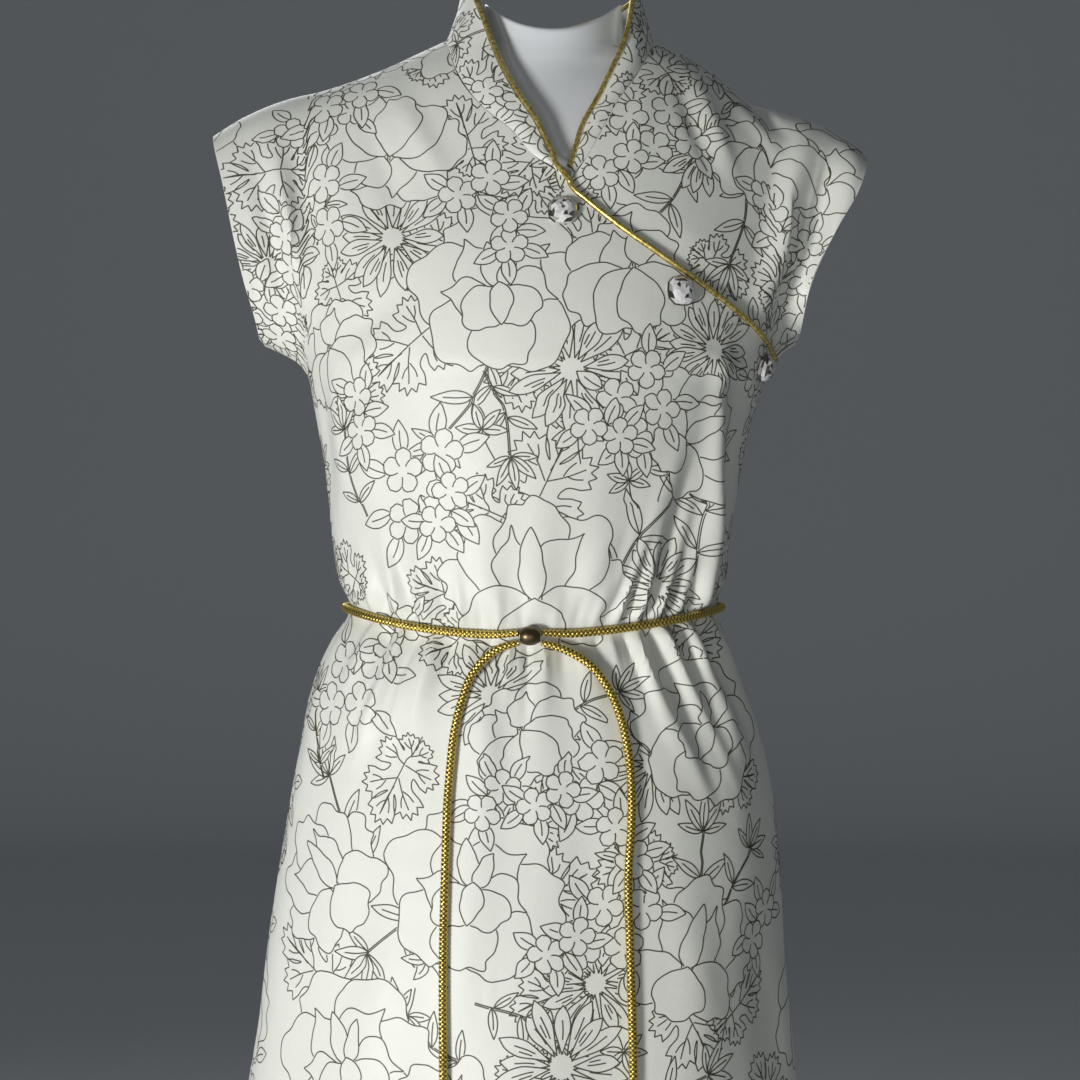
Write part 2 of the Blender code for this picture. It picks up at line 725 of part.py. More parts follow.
def waist_ring(turn, out):
    """Points round the body at the belt, `out` beyond the cloth."""
    x = section("centre", WAIST) + (section("half_width", WAIST) + out) * np.sin(turn)
    front = np.cos(turn) > 0
    deep = np.where(front, section("front", WAIST), section("back", WAIST)) + out
    return np.stack([x, -deep * np.cos(turn), WAIST - dip(turn, WAIST)], axis=-1)


# Belt: a gold cord round the waist through a bead, its two ends hanging
LOOP_POINTS = 46
loop_out = CORD / 2 + CORD_CLEAR
reach = section("half_width", WAIST) + loop_out
bead_side = BEAD_LENGTH / 2 + 3 * SEAM
bead_right = math.asin((BEAD_CENTRE_X + bead_side - section("centre", WAIST)) / reach)
bead_left = math.asin((BEAD_CENTRE_X - bead_side - section("centre", WAIST)) / reach)
loop = waist_ring(np.linspace(bead_right, 2 * math.pi + bead_left, LOOP_POINTS), loop_out)
bead_centre = waist_ring((bead_left + bead_right) / 2, BEAD_DIAMETER / 2 + 2 * SEAM)
near_bead = np.exp(-(((loop[:, 0] - BEAD_CENTRE_X) / PINCH_AT_BEAD) ** 2)) * (loop[:, 1] < 0)
loop[:, 1] += (bead_centre[1] + 0.0005 - loop[0, 1]) * near_bead
loop[:, 2] += CORD_OFFSET_AT_BEAD * near_bead
loop_radii = 1 - (1 - CORD_AT_BEAD) * near_bead
tube("belt_loop", loop, CORD / 2, gold, loop_radii)

BEAD_SIDES = 18
across = np.array([-0.5, -0.42, -0.22, 0.0, 0.22, 0.42, 0.5]) * BEAD_LENGTH
swell = np.sqrt(1 - (2 * across / BEAD_LENGTH) ** 2 * (1 - (BEAD_END / BEAD_DIAMETER) ** 2))
angle = np.arange(BEAD_SIDES) / BEAD_SIDES * 2 * math.pi
bead_rings = []
for x, share in zip(across, swell):
    ring_y = bead_centre[1] + share * BEAD_DIAMETER / 2 * np.cos(angle)
    ring_z = bead_centre[2] + share * BEAD_DIAMETER / 2 * np.sin(angle)
    bead_rings.append(np.stack([np.full(BEAD_SIDES, BEAD_CENTRE_X + x), ring_y, ring_z], axis=-1))
turned("belt_bead", bead_rings, bronze)


def on_skirt(x, z, out):
    """The point `out` in front of the skirt at x and height z."""
    level = z
    for _ in range(6):
        turn = np.arcsin((x - section("centre", level)) / section("half_width", level))
        level = z + dip(turn, level)
    wave = skirt_wave(turn, level) * np.abs(np.cos(turn)) ** 0.5
    y = -(section("front", level) + wave) * np.cos(turn)
    y -= fold_height(x, z, FRONT_FOLDS)
    return np.stack([x, y - out, z], axis=-1)


KNOT_SIDES = 12
KNOT_LEVELS = (-0.95, -0.6, 0.0, 0.6, 0.95)
for side, route in (("left", TAIL_LEFT), ("right", TAIL_RIGHT)):
    flat = along(route, TAIL_POINTS)
    tail = on_skirt(flat[:, 0], flat[:, 1], CORD / 2 + TAIL_CLEAR)
    drop = ease((flat[0, 1] - flat[:, 1]) / 0.030)
    leaving = np.minimum(tail[:, 1], bead_centre[1] - 0.0008)
    tail[:, 1] = (1 - drop) * leaving + drop * tail[:, 1]
    for _ in range(3):
        tail[1:-1, 1] = np.minimum(tail[1:-1, 1], (tail[:-2, 1] + tail[2:, 1]) / 2)
    squeeze = 1 - (1 - CORD_AT_BEAD) * np.exp(-(((flat[:, 0] - flat[0, 0]) / 0.008) ** 2))
    tube(f"belt_tail_{side}", tail, CORD / 2, gold, squeeze)
    angle = np.arange(KNOT_SIDES) / KNOT_SIDES * 2 * math.pi
    knot_rings = []
    for high in KNOT_LEVELS:
        share = math.sqrt(1 - (0.85 * high) ** 2) * KNOT / 2
        offset = np.array([0, (CORD - KNOT) / 2, (high - 1) * KNOT / 2 - SEAM])
        ring = np.stack([share * np.cos(angle), share * np.sin(angle), 0 * angle], axis=-1)
        knot_rings.append(tail[-1] + offset + ring)
    turned(f"tail_knot_{side}", knot_rings, gold)


# Dress form: a smooth torso with a neck scooped at front and back, closed and standing on a pole
def torso_radius(z, turn):
    """Radius of the torso at a height and turn, 0 at the front: a different ellipse front and back."""
    rows = np.array(FORM_SECTIONS)
    wide, front, back = (curve(rows[:, 0], rows[:, k], z) for k in (1, 2, 3))
    deep = np.where(np.cos(turn) > 0, front, back)
    return 1 / np.sqrt((np.sin(turn) / wide) ** 2 + (np.cos(turn) / deep) ** 2)


def neck_radius(turn):
    deep = np.where(np.cos(turn) > 0, NECK_FRONT, NECK_BACK_DEPTH)
    return 1 / np.sqrt((np.sin(turn) / NECK_HALF_WIDTH) ** 2 + (np.cos(turn) / deep) ** 2)


turn = np.arange(FORM_SIDES) / FORM_SIDES * 2 * math.pi
form_rings = []
heights = np.array(FORM_SECTIONS)[:, 0]
centre = NECK_CENTRE * ease((heights - 1.375) / 0.035)
for z, shift in zip(heights, centre):
    radius = torso_radius(z, turn)
    if z > NECK_START:
        radius = (radius**BLEND + neck_radius(turn) ** BLEND) ** (1 / BLEND)
    x, y = shift + radius * np.sin(turn), -radius * np.cos(turn)
    form_rings.append(np.stack([x, y, np.full(FORM_SIDES, z)], axis=-1))
neck = neck_radius(turn)
NECK_RINGS = (
    # share of the neck's radius, drop below the scooped face
    (1.00, NECK_LIP),
    (0.97, 0.0012),
    (0.90, 0.0),
    (0.55, 0.0),
    (0.20, 0.0),
)
for share, under in NECK_RINGS:
    across = share * neck * np.sin(turn)
    z = NECK_TOP + NECK_BEND - np.sqrt(NECK_BEND**2 - across**2) - under
    form_rings.append(np.stack([NECK_CENTRE + across, -share * neck * np.cos(turn), z], axis=-1))
turned("form_torso", form_rings, plastic)

POLE_SIDES = 20
angle = np.arange(POLE_SIDES) / POLE_SIDES * 2 * math.pi
pole_low = BASE_THICKNESS + SEAM
pole_high = FORM_SECTIONS[0][0] - SEAM
pole_rings = []
for z in (pole_low, pole_high):
    x, y = POLE_RADIUS * np.cos(angle), POLE_RADIUS * np.sin(angle)
    pole_rings.append(np.stack([x, y, np.full(POLE_SIDES, z)], axis=-1))
turned("form_pole", pole_rings, steel)

BASE_SIDES = 48
angle = np.arange(BASE_SIDES) / BASE_SIDES * 2 * math.pi
base_rings = []
for inset, z in ((0, 0), (0, BASE_THICKNESS - BASE_EDGE), (BASE_EDGE, BASE_THICKNESS)):
    x, y = (BASE_RADIUS - inset) * np.cos(angle), (BASE_RADIUS - inset) * np.sin(angle)
    base_rings.append(np.stack([x, y, np.full(BASE_SIDES, z)], axis=-1))
turned("form_base", base_rings, steel)
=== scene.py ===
"""Looks of a wrap-front dress with a stand collar and cap sleeves, worn by a limbless dress form.

Metres, +Z up, the front faces -Y. The sections follow the way the dress is dressed and sewn: the form
on its stand, the back and front panels, the under front, the collar, the pipings, the buttons, the
print on the cloth and the cord belt.
"""

import math
from functools import partial

import bpy
import numpy as np
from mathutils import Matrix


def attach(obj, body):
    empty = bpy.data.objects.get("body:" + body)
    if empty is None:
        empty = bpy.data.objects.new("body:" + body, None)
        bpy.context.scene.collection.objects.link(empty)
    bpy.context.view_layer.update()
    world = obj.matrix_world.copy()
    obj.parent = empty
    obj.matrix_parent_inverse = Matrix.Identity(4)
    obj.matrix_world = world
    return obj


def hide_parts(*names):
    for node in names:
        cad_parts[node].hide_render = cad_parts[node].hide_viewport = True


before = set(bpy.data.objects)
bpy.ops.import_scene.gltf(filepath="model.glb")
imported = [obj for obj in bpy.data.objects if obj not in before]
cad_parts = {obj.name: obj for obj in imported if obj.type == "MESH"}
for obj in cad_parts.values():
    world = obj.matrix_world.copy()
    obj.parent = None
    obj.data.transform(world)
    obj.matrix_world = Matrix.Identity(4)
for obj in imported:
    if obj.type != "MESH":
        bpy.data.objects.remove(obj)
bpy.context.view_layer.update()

# Camera: level with the ribs, straight before the dress, as near as a person who photographs it stands.
VIEW_DISTANCE = 1.4
VIEW_HEIGHT = 1.066
VIEW_WIDTH = 0.7452
camera_data = bpy.data.cameras.new("view")
camera_data.sensor_width = 36.0
camera_data.lens = camera_data.sensor_width * VIEW_DISTANCE / VIEW_WIDTH
camera_data.clip_start = 0.05
camera = bpy.data.objects.new("view", camera_data)
camera.location = (0, -VIEW_DISTANCE, VIEW_HEIGHT)
camera.rotation_euler = (math.pi / 2, 0, 0)
bpy.context.scene.collection.objects.link(camera)
bpy.context.scene.camera = camera
bpy.context.scene.view_settings.view_transform = "Standard"


def paint(name, colour, roughness, metallic=0.0, **sockets):
    """A material with one Principled shader, its plain values set on the shader's own sockets."""
    material = bpy.data.materials.new(name)
    material.use_nodes = True
    shader = material.node_tree.nodes["Principled BSDF"]
    shader.inputs["Base Color"].default_value = (*colour, 1)
    shader.inputs["Roughness"].default_value = roughness
    shader.inputs["Metallic"].default_value = metallic
    for socket, value in sockets.items():
        shader.inputs[socket].default_value = value
    return material


def node(material, kind, values=(), **settings):
    """A shader node with its settings, its inputs filled from pairs of a socket and a value or a link."""
    made = material.node_tree.nodes.new(kind)
    for key, value in settings.items():
        setattr(made, key, value)
    for socket, value in values:
        if isinstance(value, bpy.types.NodeSocket):
            material.node_tree.links.new(value, made.inputs[socket])
        else:
            made.inputs[socket].default_value = value
    return made


def fed(material, **links):
    """Links outputs to the inputs of the material's own shader, named with _ for a space."""
    shader = material.node_tree.nodes["Principled BSDF"]
    for socket, output in links.items():
        material.node_tree.links.new(output, shader.inputs[socket.replace("_", " ")])


def noise(material, place, scale, detail):
    """A noise texture's share at a place."""
    values = (("Vector", place), ("Scale", scale), ("Detail", detail))
    return node(material, "ShaderNodeTexNoise", values).outputs["Fac"]


def placed_on(material, scale=None):
    """The place on the object, or on the flat material if a scale along its axes is given."""
    if scale is None:
        return node(material, "ShaderNodeTexCoord").outputs["Object"]
    flat = node(material, "ShaderNodeUVMap", uv_map="flat").outputs["UV"]
    return node(material, "ShaderNodeMapping", (("Vector", flat), ("Scale", scale))).outputs["Vector"]


def bumped(material, height, strength, distance, *normal):
    """The normal of a surface raised by a height, over another normal if one is given."""
    values = [("Height", height), ("Strength", strength), ("Distance", distance)]
    values += [("Normal", under) for under in normal]
    return node(material, "ShaderNodeBump", values).outputs["Normal"]


def ranged(material, value, low, high):
    """A value from 0 to 1 moved to between low and high."""
    values = (("Value", value), ("To Min", low), ("To Max", high))
    return node(material, "ShaderNodeMapRange", values).outputs["Result"]


def ramp(material, value, *stops):
    """The colour of a value between stops, each a value and its colour."""
    made = node(material, "ShaderNodeValToRGB", (("Fac", value),))
    elements = made.color_ramp.elements
    for element, (position, colour) in ((elements[0], stops[0]), (elements[1], stops[-1])):
        element.position = position
        element.color = (*colour, 1)
    for position, colour in stops[1:-1]:
        elements.new(position).color = (*colour, 1)
    return made.outputs["Color"]


def cells(index):
    """The corners of each cell of a grid of numbers, one row of four for a cell."""
    corners = [index[:-1, :-1], index[:-1, 1:], index[1:, 1:], index[1:, :-1]]
    return np.stack(corners, axis=-1).reshape(-1, 4)


def surface(name, grid, wrap=False, caps=False, flat_map=None):
    """A mesh of quads between the neighbours of a grid of points, the last column joined to the first
    if it wraps, the first and last rows closed by caps. flat_map gives each point its place on the
    flat material, with one column more than the grid where it wraps."""
    rows, columns = grid.shape[:2]
    index = np.arange(rows * columns).reshape(rows, columns)
    if wrap:
        index = np.concatenate([index, index[:, :1]], axis=1)
    faces = cells(index).tolist()
    if caps:
        faces += [index[0, :columns][::-1].tolist(), index[-1, :columns].tolist()]
    mesh = bpy.data.meshes.new(name)
    mesh.from_pydata(grid.reshape(-1, 3).tolist(), [], faces)
    if flat_map is not None:
        corners = cells(np.arange(flat_map.shape[0] * flat_map.shape[1]).reshape(flat_map.shape[:2]))
        places = np.zeros((len(mesh.loops), 2), np.float32)
        places[: corners.size] = flat_map.reshape(-1, 2)[corners.ravel()]
        mesh.uv_layers.new(name="flat").data.foreach_set("uv", places.ravel())
    return show(name, mesh)


def show(name, mesh, smooth_under=40):
    """An object for a mesh, shaded smooth but for its sharp corners, riding on the one body."""
    mesh.shade_smooth()
    mesh.set_sharp_from_angle(angle=math.radians(smooth_under))
    made = bpy.data.objects.new(name, mesh)
    bpy.context.scene.collection.objects.link(made)
    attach(made, "root")
    return made


# Floor and backdrop: one pale sheet that sweeps up far behind the stand, so that a camera behind the
# dress stands before it too. Matt, so that it takes no shine.
SWEEP_HALF_WIDTH = 8.0
SWEEP_FRONT = -7.0
SWEEP_WALL = 7.0
SWEEP_RADIUS = 1.5
SWEEP_TOP = 7.0
bend = np.linspace(0, math.pi / 2, 24)
bend_y = SWEEP_WALL - SWEEP_RADIUS + SWEEP_RADIUS * np.sin(bend)
sweep_y = np.concatenate([[SWEEP_FRONT], bend_y, [SWEEP_WALL]])
sweep_z = np.concatenate([[0.0], SWEEP_RADIUS * (1 - np.cos(bend)), [SWEEP_TOP]])
sides = np.array([-SWEEP_HALF_WIDTH, SWEEP_HALF_WIDTH])
sweep = np.stack(np.broadcast_arrays(sides[None, :], sweep_y[:, None], sweep_z[:, None]), axis=-1)
backdrop = surface("backdrop", sweep)
backdrop.data.materials.append(paint("backdrop_paper", (0.62, 0.64, 0.66), 0.9))

# Lights: a strong lamp low at the left, a weak one straight before the dress, one behind for the
# shoulders, and a faint even sky.
SKY_STRENGTH = 0.12
LAMPS = (
    # name, place, aimed at, size, watts, colour
    ("key", (-1.45, -1.95, 0.55), (0.0, 0.0, 1.05), 0.55, 45, (1.0, 0.99, 0.98)),
    ("fill", (0.10, -2.3, 0.60), (0.0, 0.0, 1.0), 1.0, 4.4, (1.0, 0.96, 0.91)),
    ("back", (-0.6, 1.5, 2.3), (0.0, 0.0, 1.2), 1.0, 9, (0.95, 0.98, 1.0)),
)
for name, place, aim, size, watts, colour in LAMPS:
    lamp_data = bpy.data.lights.new(name, "AREA")
    lamp_data.shape = "DISK"
    lamp_data.size = size
    lamp_data.energy = watts
    lamp_data.color = colour
    lamp = bpy.data.objects.new(name, lamp_data)
    lamp.location = place
    way = np.array(aim) - np.array(place)
    tilt = math.acos(-way[2] / np.linalg.norm(way))
    lamp.rotation_euler = (tilt, 0, math.atan2(way[1], way[0]) - math.pi / 2)
    bpy.context.scene.collection.objects.link(lamp)
world = bpy.data.worlds.new("studio")
world.use_nodes = True
world.node_tree.nodes["Background"].inputs["Color"].default_value = (0.80, 0.86, 0.92, 1)
world.node_tree.nodes["Background"].inputs["Strength"].default_value = SKY_STRENGTH
bpy.context.scene.world = world


# Dress form: a hollow-moulded torso with no head or arms, in glossy white plastic, its neck scooped at
# the front and back so that a collar stands clear of it.
FORM_SECTIONS = (
    # height, half width, front, back
    (0.78, 0.15, 0.097, 0.105), (0.79, 0.156, 0.103, 0.112), (0.825, 0.159, 0.105, 0.114),
    (0.86, 0.158, 0.106, 0.116), (0.92, 0.146, 0.098, 0.104), (0.97, 0.127, 0.088, 0.088),
    (1.02, 0.112, 0.079, 0.072), (1.07, 0.118, 0.083, 0.076), (1.12, 0.132, 0.095, 0.085),
    (1.173, 0.146, 0.107, 0.094), (1.22, 0.155, 0.103, 0.096), (1.26, 0.158, 0.095, 0.094),
    (1.3, 0.158, 0.0815, 0.083), (1.33, 0.154, 0.071, 0.075), (1.35, 0.145, 0.0625, 0.0675),
    (1.365, 0.134, 0.055, 0.059), (1.375, 0.1235, 0.049, 0.053), (1.385, 0.1095, 0.042, 0.046),
    (1.392, 0.097, 0.037, 0.041), (1.397, 0.0835, 0.0315, 0.035), (1.401, 0.067, 0.025, 0.028),
    (1.4034, 0.045, 0.015, 0.017),
)
FORM_SIDES = 144
FORM_ROWS = 96
FORM_SHRINK = 0.0006
NECK_CENTRE = 0.0090
NECK_HALF_WIDTH = 0.0470
NECK_FRONT = 0.0480
NECK_BACK_DEPTH = 0.0400
NECK_TOP = 1.4080
NECK_BEND = 0.0520
NECK_LIP = 0.0040
NECK_START = 1.300
BLEND = 8
SHIFT_START, SHIFT_REACH = 1.375, 0.035
LIP_ROWS = 9
LIP_SHARE = 0.085
CAP_ROWS = 14


def curve(xs, ys, at):
    """Cubic curve through the points (xs, ys), with slopes from their neighbours, read at `at`."""
    xs = np.asarray(xs, float)
    ys = np.asarray(ys, float)
    slopes = np.gradient(ys, xs)
    i = np.clip(np.searchsorted(xs, at) - 1, 0, len(xs) - 2)
    step = xs[i + 1] - xs[i]
    t = np.clip((at - xs[i]) / step, 0, 1)
    start = (1 + 2 * t) * (1 - t) ** 2 * ys[i] + t * (1 - t) ** 2 * step * slopes[i]
    end = t * t * (3 - 2 * t) * ys[i + 1] + t * t * (t - 1) * step * slopes[i + 1]
    return start + end


def ease(t):
    """0 to 1 with level ends: three squares less two cubes."""
    t = np.clip(t, 0, 1)
    return t * t * (3 - 2 * t)


def half_ellipses(turn, wide, front, back):
    """Radius at a turn from the front of two half ellipses that share their width."""
    deep = np.where(np.cos(turn) > 0, front, back)
    return 1 / np.sqrt((np.sin(turn) / wide) ** 2 + (np.cos(turn) / deep) ** 2)


rows = np.array(FORM_SECTIONS)
height = curve(np.linspace(0, 1, len(rows)), rows[:, 0], np.linspace(0, 1, FORM_ROWS))[:, None]
turn = (np.arange(FORM_SIDES) / FORM_SIDES * 2 * math.pi)[None, :]
neck = half_ellipses(turn, NECK_HALF_WIDTH, NECK_FRONT, NECK_BACK_DEPTH)
torso = half_ellipses(turn, *(curve(rows[:, 0], rows[:, k], height) for k in (1, 2, 3))) - FORM_SHRINK
torso = np.where(height > NECK_START, (torso**BLEND + neck**BLEND) ** (1 / BLEND), torso)
shift = NECK_CENTRE * ease((height - SHIFT_START) / SHIFT_REACH)
side_points = np.stack(
    np.broadcast_arrays(shift + torso * np.sin(turn), -torso * np.cos(turn), height), axis=-1
)
lip = np.linspace(0, math.pi / 2, LIP_ROWS)[:, None]
share = np.concatenate([1 - LIP_SHARE * (1 - np.cos(lip)), np.linspace(0.88, 0.02, CAP_ROWS)[:, None]])
under = np.concatenate([NECK_LIP * (1 - np.sin(lip)), np.zeros((CAP_ROWS, 1))])
neck_x = share * neck * np.sin(turn)
scooped = NECK_TOP + NECK_BEND - np.sqrt(NECK_BEND**2 - neck_x**2) - under
top_points = np.stack([NECK_CENTRE + neck_x, -share * neck * np.cos(turn), scooped], axis=-1)
form_torso = surface("torso_shell", np.concatenate([side_points, top_points]), wrap=True, caps=True)

gloss_plastic = paint(
    "gloss_white_plastic", (0.78, 0.81, 0.83), 0.20, **{"Coat Weight": 0.6, "Coat Roughness": 0.08}
)
place = placed_on(gloss_plastic)
fed(
    gloss_plastic,
    Roughness=ranged(gloss_plastic, noise(gloss_plastic, place, 14.0, 6.0), 0.14, 0.30),
    Normal=bumped(gloss_plastic, noise(gloss_plastic, place, 5.0, 1.0), 0.25, 0.003),
)
form_torso.data.materials.append(gloss_plastic)
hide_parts("form_torso")


# Stand: a steel tube with a round weighted base, both painted satin white. The base's upper edge is
# turned round.
POLE_RADIUS = 0.0125
BASE_RADIUS = 0.165
BASE_THICKNESS = 0.012
BASE_EDGE = 0.003
BASE_FOOT_EDGE = 0.0006
STAND_GAP = 0.0003
NEAR_AXIS = 0.001
ROUND_SIDES = 96


def lathe(name, profile):
    """A closed turned body from a profile of radius and height, from its foot to its top."""
    profile = np.array(profile)
    angle = np.arange(ROUND_SIDES) / ROUND_SIDES * 2 * math.pi
    grid = np.stack(
        np.broadcast_arrays(
            profile[:, :1] * np.cos(angle), profile[:, :1] * np.sin(angle), profile[:, 1:]
        ),
        axis=-1,
    )
    return surface(name, grid, wrap=True, caps=True)


pole_low = BASE_THICKNESS + STAND_GAP
pole_high = FORM_SECTIONS[0][0] - STAND_GAP
pole = lathe("pole_tube", [(POLE_RADIUS, z) for z in np.linspace(pole_low, pole_high, 40)])
edge = np.linspace(0, math.pi / 2, 8)
base_profile = [(NEAR_AXIS, 0.0), (BASE_RADIUS - BASE_FOOT_EDGE, 0.0), (BASE_RADIUS, BASE_FOOT_EDGE)]
base_profile += [
    (BASE_RADIUS - BASE_EDGE * (1 - math.cos(a)), BASE_THICKNESS - BASE_EDGE * (1 - math.sin(a)))
    for a in edge
]
base_profile += [(r, BASE_THICKNESS) for r in np.linspace(BASE_RADIUS - 2 * BASE_EDGE, NEAR_AXIS, 12)]
base = lathe("round_base", base_profile)
white_paint = paint("satin_white_paint", (0.78, 0.78, 0.79), 0.34)
peel = noise(white_paint, placed_on(white_paint), 420.0, 2.0)
fed(white_paint, Normal=bumped(white_paint, peel, 0.12, 0.0004))
for piece, replaced in ((pole, "form_pole"), (base, "form_base")):
    piece.data.materials.append(white_paint)
    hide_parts(replaced)


# Front panel: satiny woven polyester, the whole front and the left cap sleeve cut in one piece, its
# upper right edge overlapping the under front. Its walls, gathers and folds are worked out from the
# same body sections, ridge, underarm line and edges as the solid, on a finer grid.
WALL = 0.0012
SEAM = 0.0003
ARMPIT = 1.173
FOLD_FADE = 8
TOP_FADE = 0.08
SECTION_COLUMNS = ("level", "centre", "half_width", "front", "back")
SECTIONS = (
    (0.46, -0.008, 0.216, 0.166, 0.167), (0.56, -0.011, 0.204, 0.156, 0.158),
    (0.697, -0.0125, 0.187, 0.139, 0.142), (0.735, -0.0112, 0.182, 0.134, 0.138),
    (0.79, -0.0097, 0.1773, 0.127, 0.132), (0.845, -0.007, 0.1718, 0.119, 0.127),
    (0.9, -0.0055, 0.1642, 0.111, 0.12), (0.928, -0.006, 0.1584, 0.107, 0.114),
    (0.956, -0.0083, 0.151, 0.103, 0.107), (0.983, -0.009, 0.1414, 0.099, 0.098),
    (0.997, -0.0072, 0.1363, 0.096, 0.092), (1.02, -0.0045, 0.1262, 0.09, 0.083),
    (1.038, -0.0052, 0.133, 0.096, 0.088), (1.066, -0.0059, 0.137, 0.1, 0.09),
    (1.094, -0.0052, 0.1404, 0.104, 0.093), (1.121, -0.0045, 0.1445, 0.108, 0.097),
    (1.149, -0.0038, 0.15, 0.111, 0.1), (1.173, -0.002, 0.156, 0.113, 0.103),
    (1.2, -0.001, 0.16, 0.113, 0.105), (1.25, 0.0, 0.164, 0.109, 0.105), (1.3, 0.002, 0.166, 0.1, 0.103),
    (1.35, 0.003, 0.167, 0.098, 0.104), (1.42, 0.004, 0.167, 0.098, 0.104),
)
RIDGE = (
    # x, height
    (-0.2243, 1.344), (-0.207, 1.355), (-0.1746, 1.369), (-0.149, 1.3752), (-0.1125, 1.3876),
    (-0.0773, 1.4032), (-0.0645, 1.409), (0.006, 1.42), (0.0775, 1.409), (0.088, 1.4045), (0.1145, 1.39),
    (0.133, 1.3755), (0.145, 1.3672), (0.1635, 1.3607), (0.1987, 1.3484), (0.212, 1.341), (0.2243, 1.329),
)
UNDERARM_LEFT = (
    # x, height
    (-0.158, ARMPIT), (-0.16, 1.179), (-0.1656, 1.187), (-0.178, 1.1945), (-0.1918, 1.2006),
)
UNDERARM_RIGHT = (
    (0.154, ARMPIT), (0.1566, 1.179), (0.1608, 1.187), (0.168, 1.1955), (0.1787, 1.2026),
)
HEM_LEFT = (
    (-0.1918, 1.2006), (-0.1925, 1.211), (-0.199, 1.24), (-0.204, 1.264), (-0.213, 1.306),
    (-0.2243, 1.344),
)
HEM_RIGHT = (
    (0.1787, 1.2026), (0.1784, 1.213), (0.1825, 1.24), (0.198, 1.273), (0.215, 1.303), (0.2243, 1.329),
)
BETWEEN_UNDERARMS = (0.0, 1.100)
SLEEVE_DEPTH = 0.045
NECK_LEFT = (
    (-0.0645, 1.409), (-0.0605, 1.393), (-0.054, 1.373), (-0.0396, 1.3522), (-0.0177, 1.3322),
    (-0.0026, 1.3141), (0.0156, 1.3018),
)
OVERLAP_EDGE = (
    (0.0156, 1.3018), (0.0195, 1.2925), (0.0289, 1.2838), (0.0502, 1.2665), (0.0761, 1.2486),
    (0.1023, 1.2316), (0.1265, 1.2156), (0.145, 1.2022), (0.1608, 1.188),
)
WAIST = 1.020
BELT_DIP = 0.0155
DIP_SPREAD = 0.055
DIP_LEAN = 0.15
GATHERS = 20
GATHER_HEIGHT = 0.0022
GATHER_BELOW = 0.075
GATHER_ABOVE = 0.040
GATHER_SWAY = 1.4
GATHER_TURN = 0.6
PINCH_FLAT = 0.004
PINCH_REACH = 0.022
HEM = 0.460
FLUTES = 9
FLUTE_HEIGHT = 0.008
FLUTE_START = 0.880
FLUTE_GROWTH = 1.4
FLUTE_SWAY = 0.7
FRONT_FOLDS = (
    # top x, top height, foot x, foot height, half width, height
    (0.118, 1.12, 0.112, 1.03, 0.009, 0.004), (0.062, 1.09, 0.018, 1.016, 0.01, 0.003),
    (-0.12, 1.18, -0.112, 1.06, 0.012, 0.003), (0.064, 1.0, 0.122, 0.88, 0.009, 0.0045),
    (0.098, 1.002, 0.146, 0.9, 0.008, 0.005), (-0.094, 1.0, -0.128, 0.91, 0.009, 0.004),
    (-0.03, 0.996, -0.04, 0.86, 0.01, 0.003), (0.168, 1.32, 0.146, 1.215, 0.007, 0.004),
    (0.19, 1.31, 0.166, 1.22, 0.006, 0.0035), (-0.172, 1.32, -0.158, 1.215, 0.01, 0.004),
)
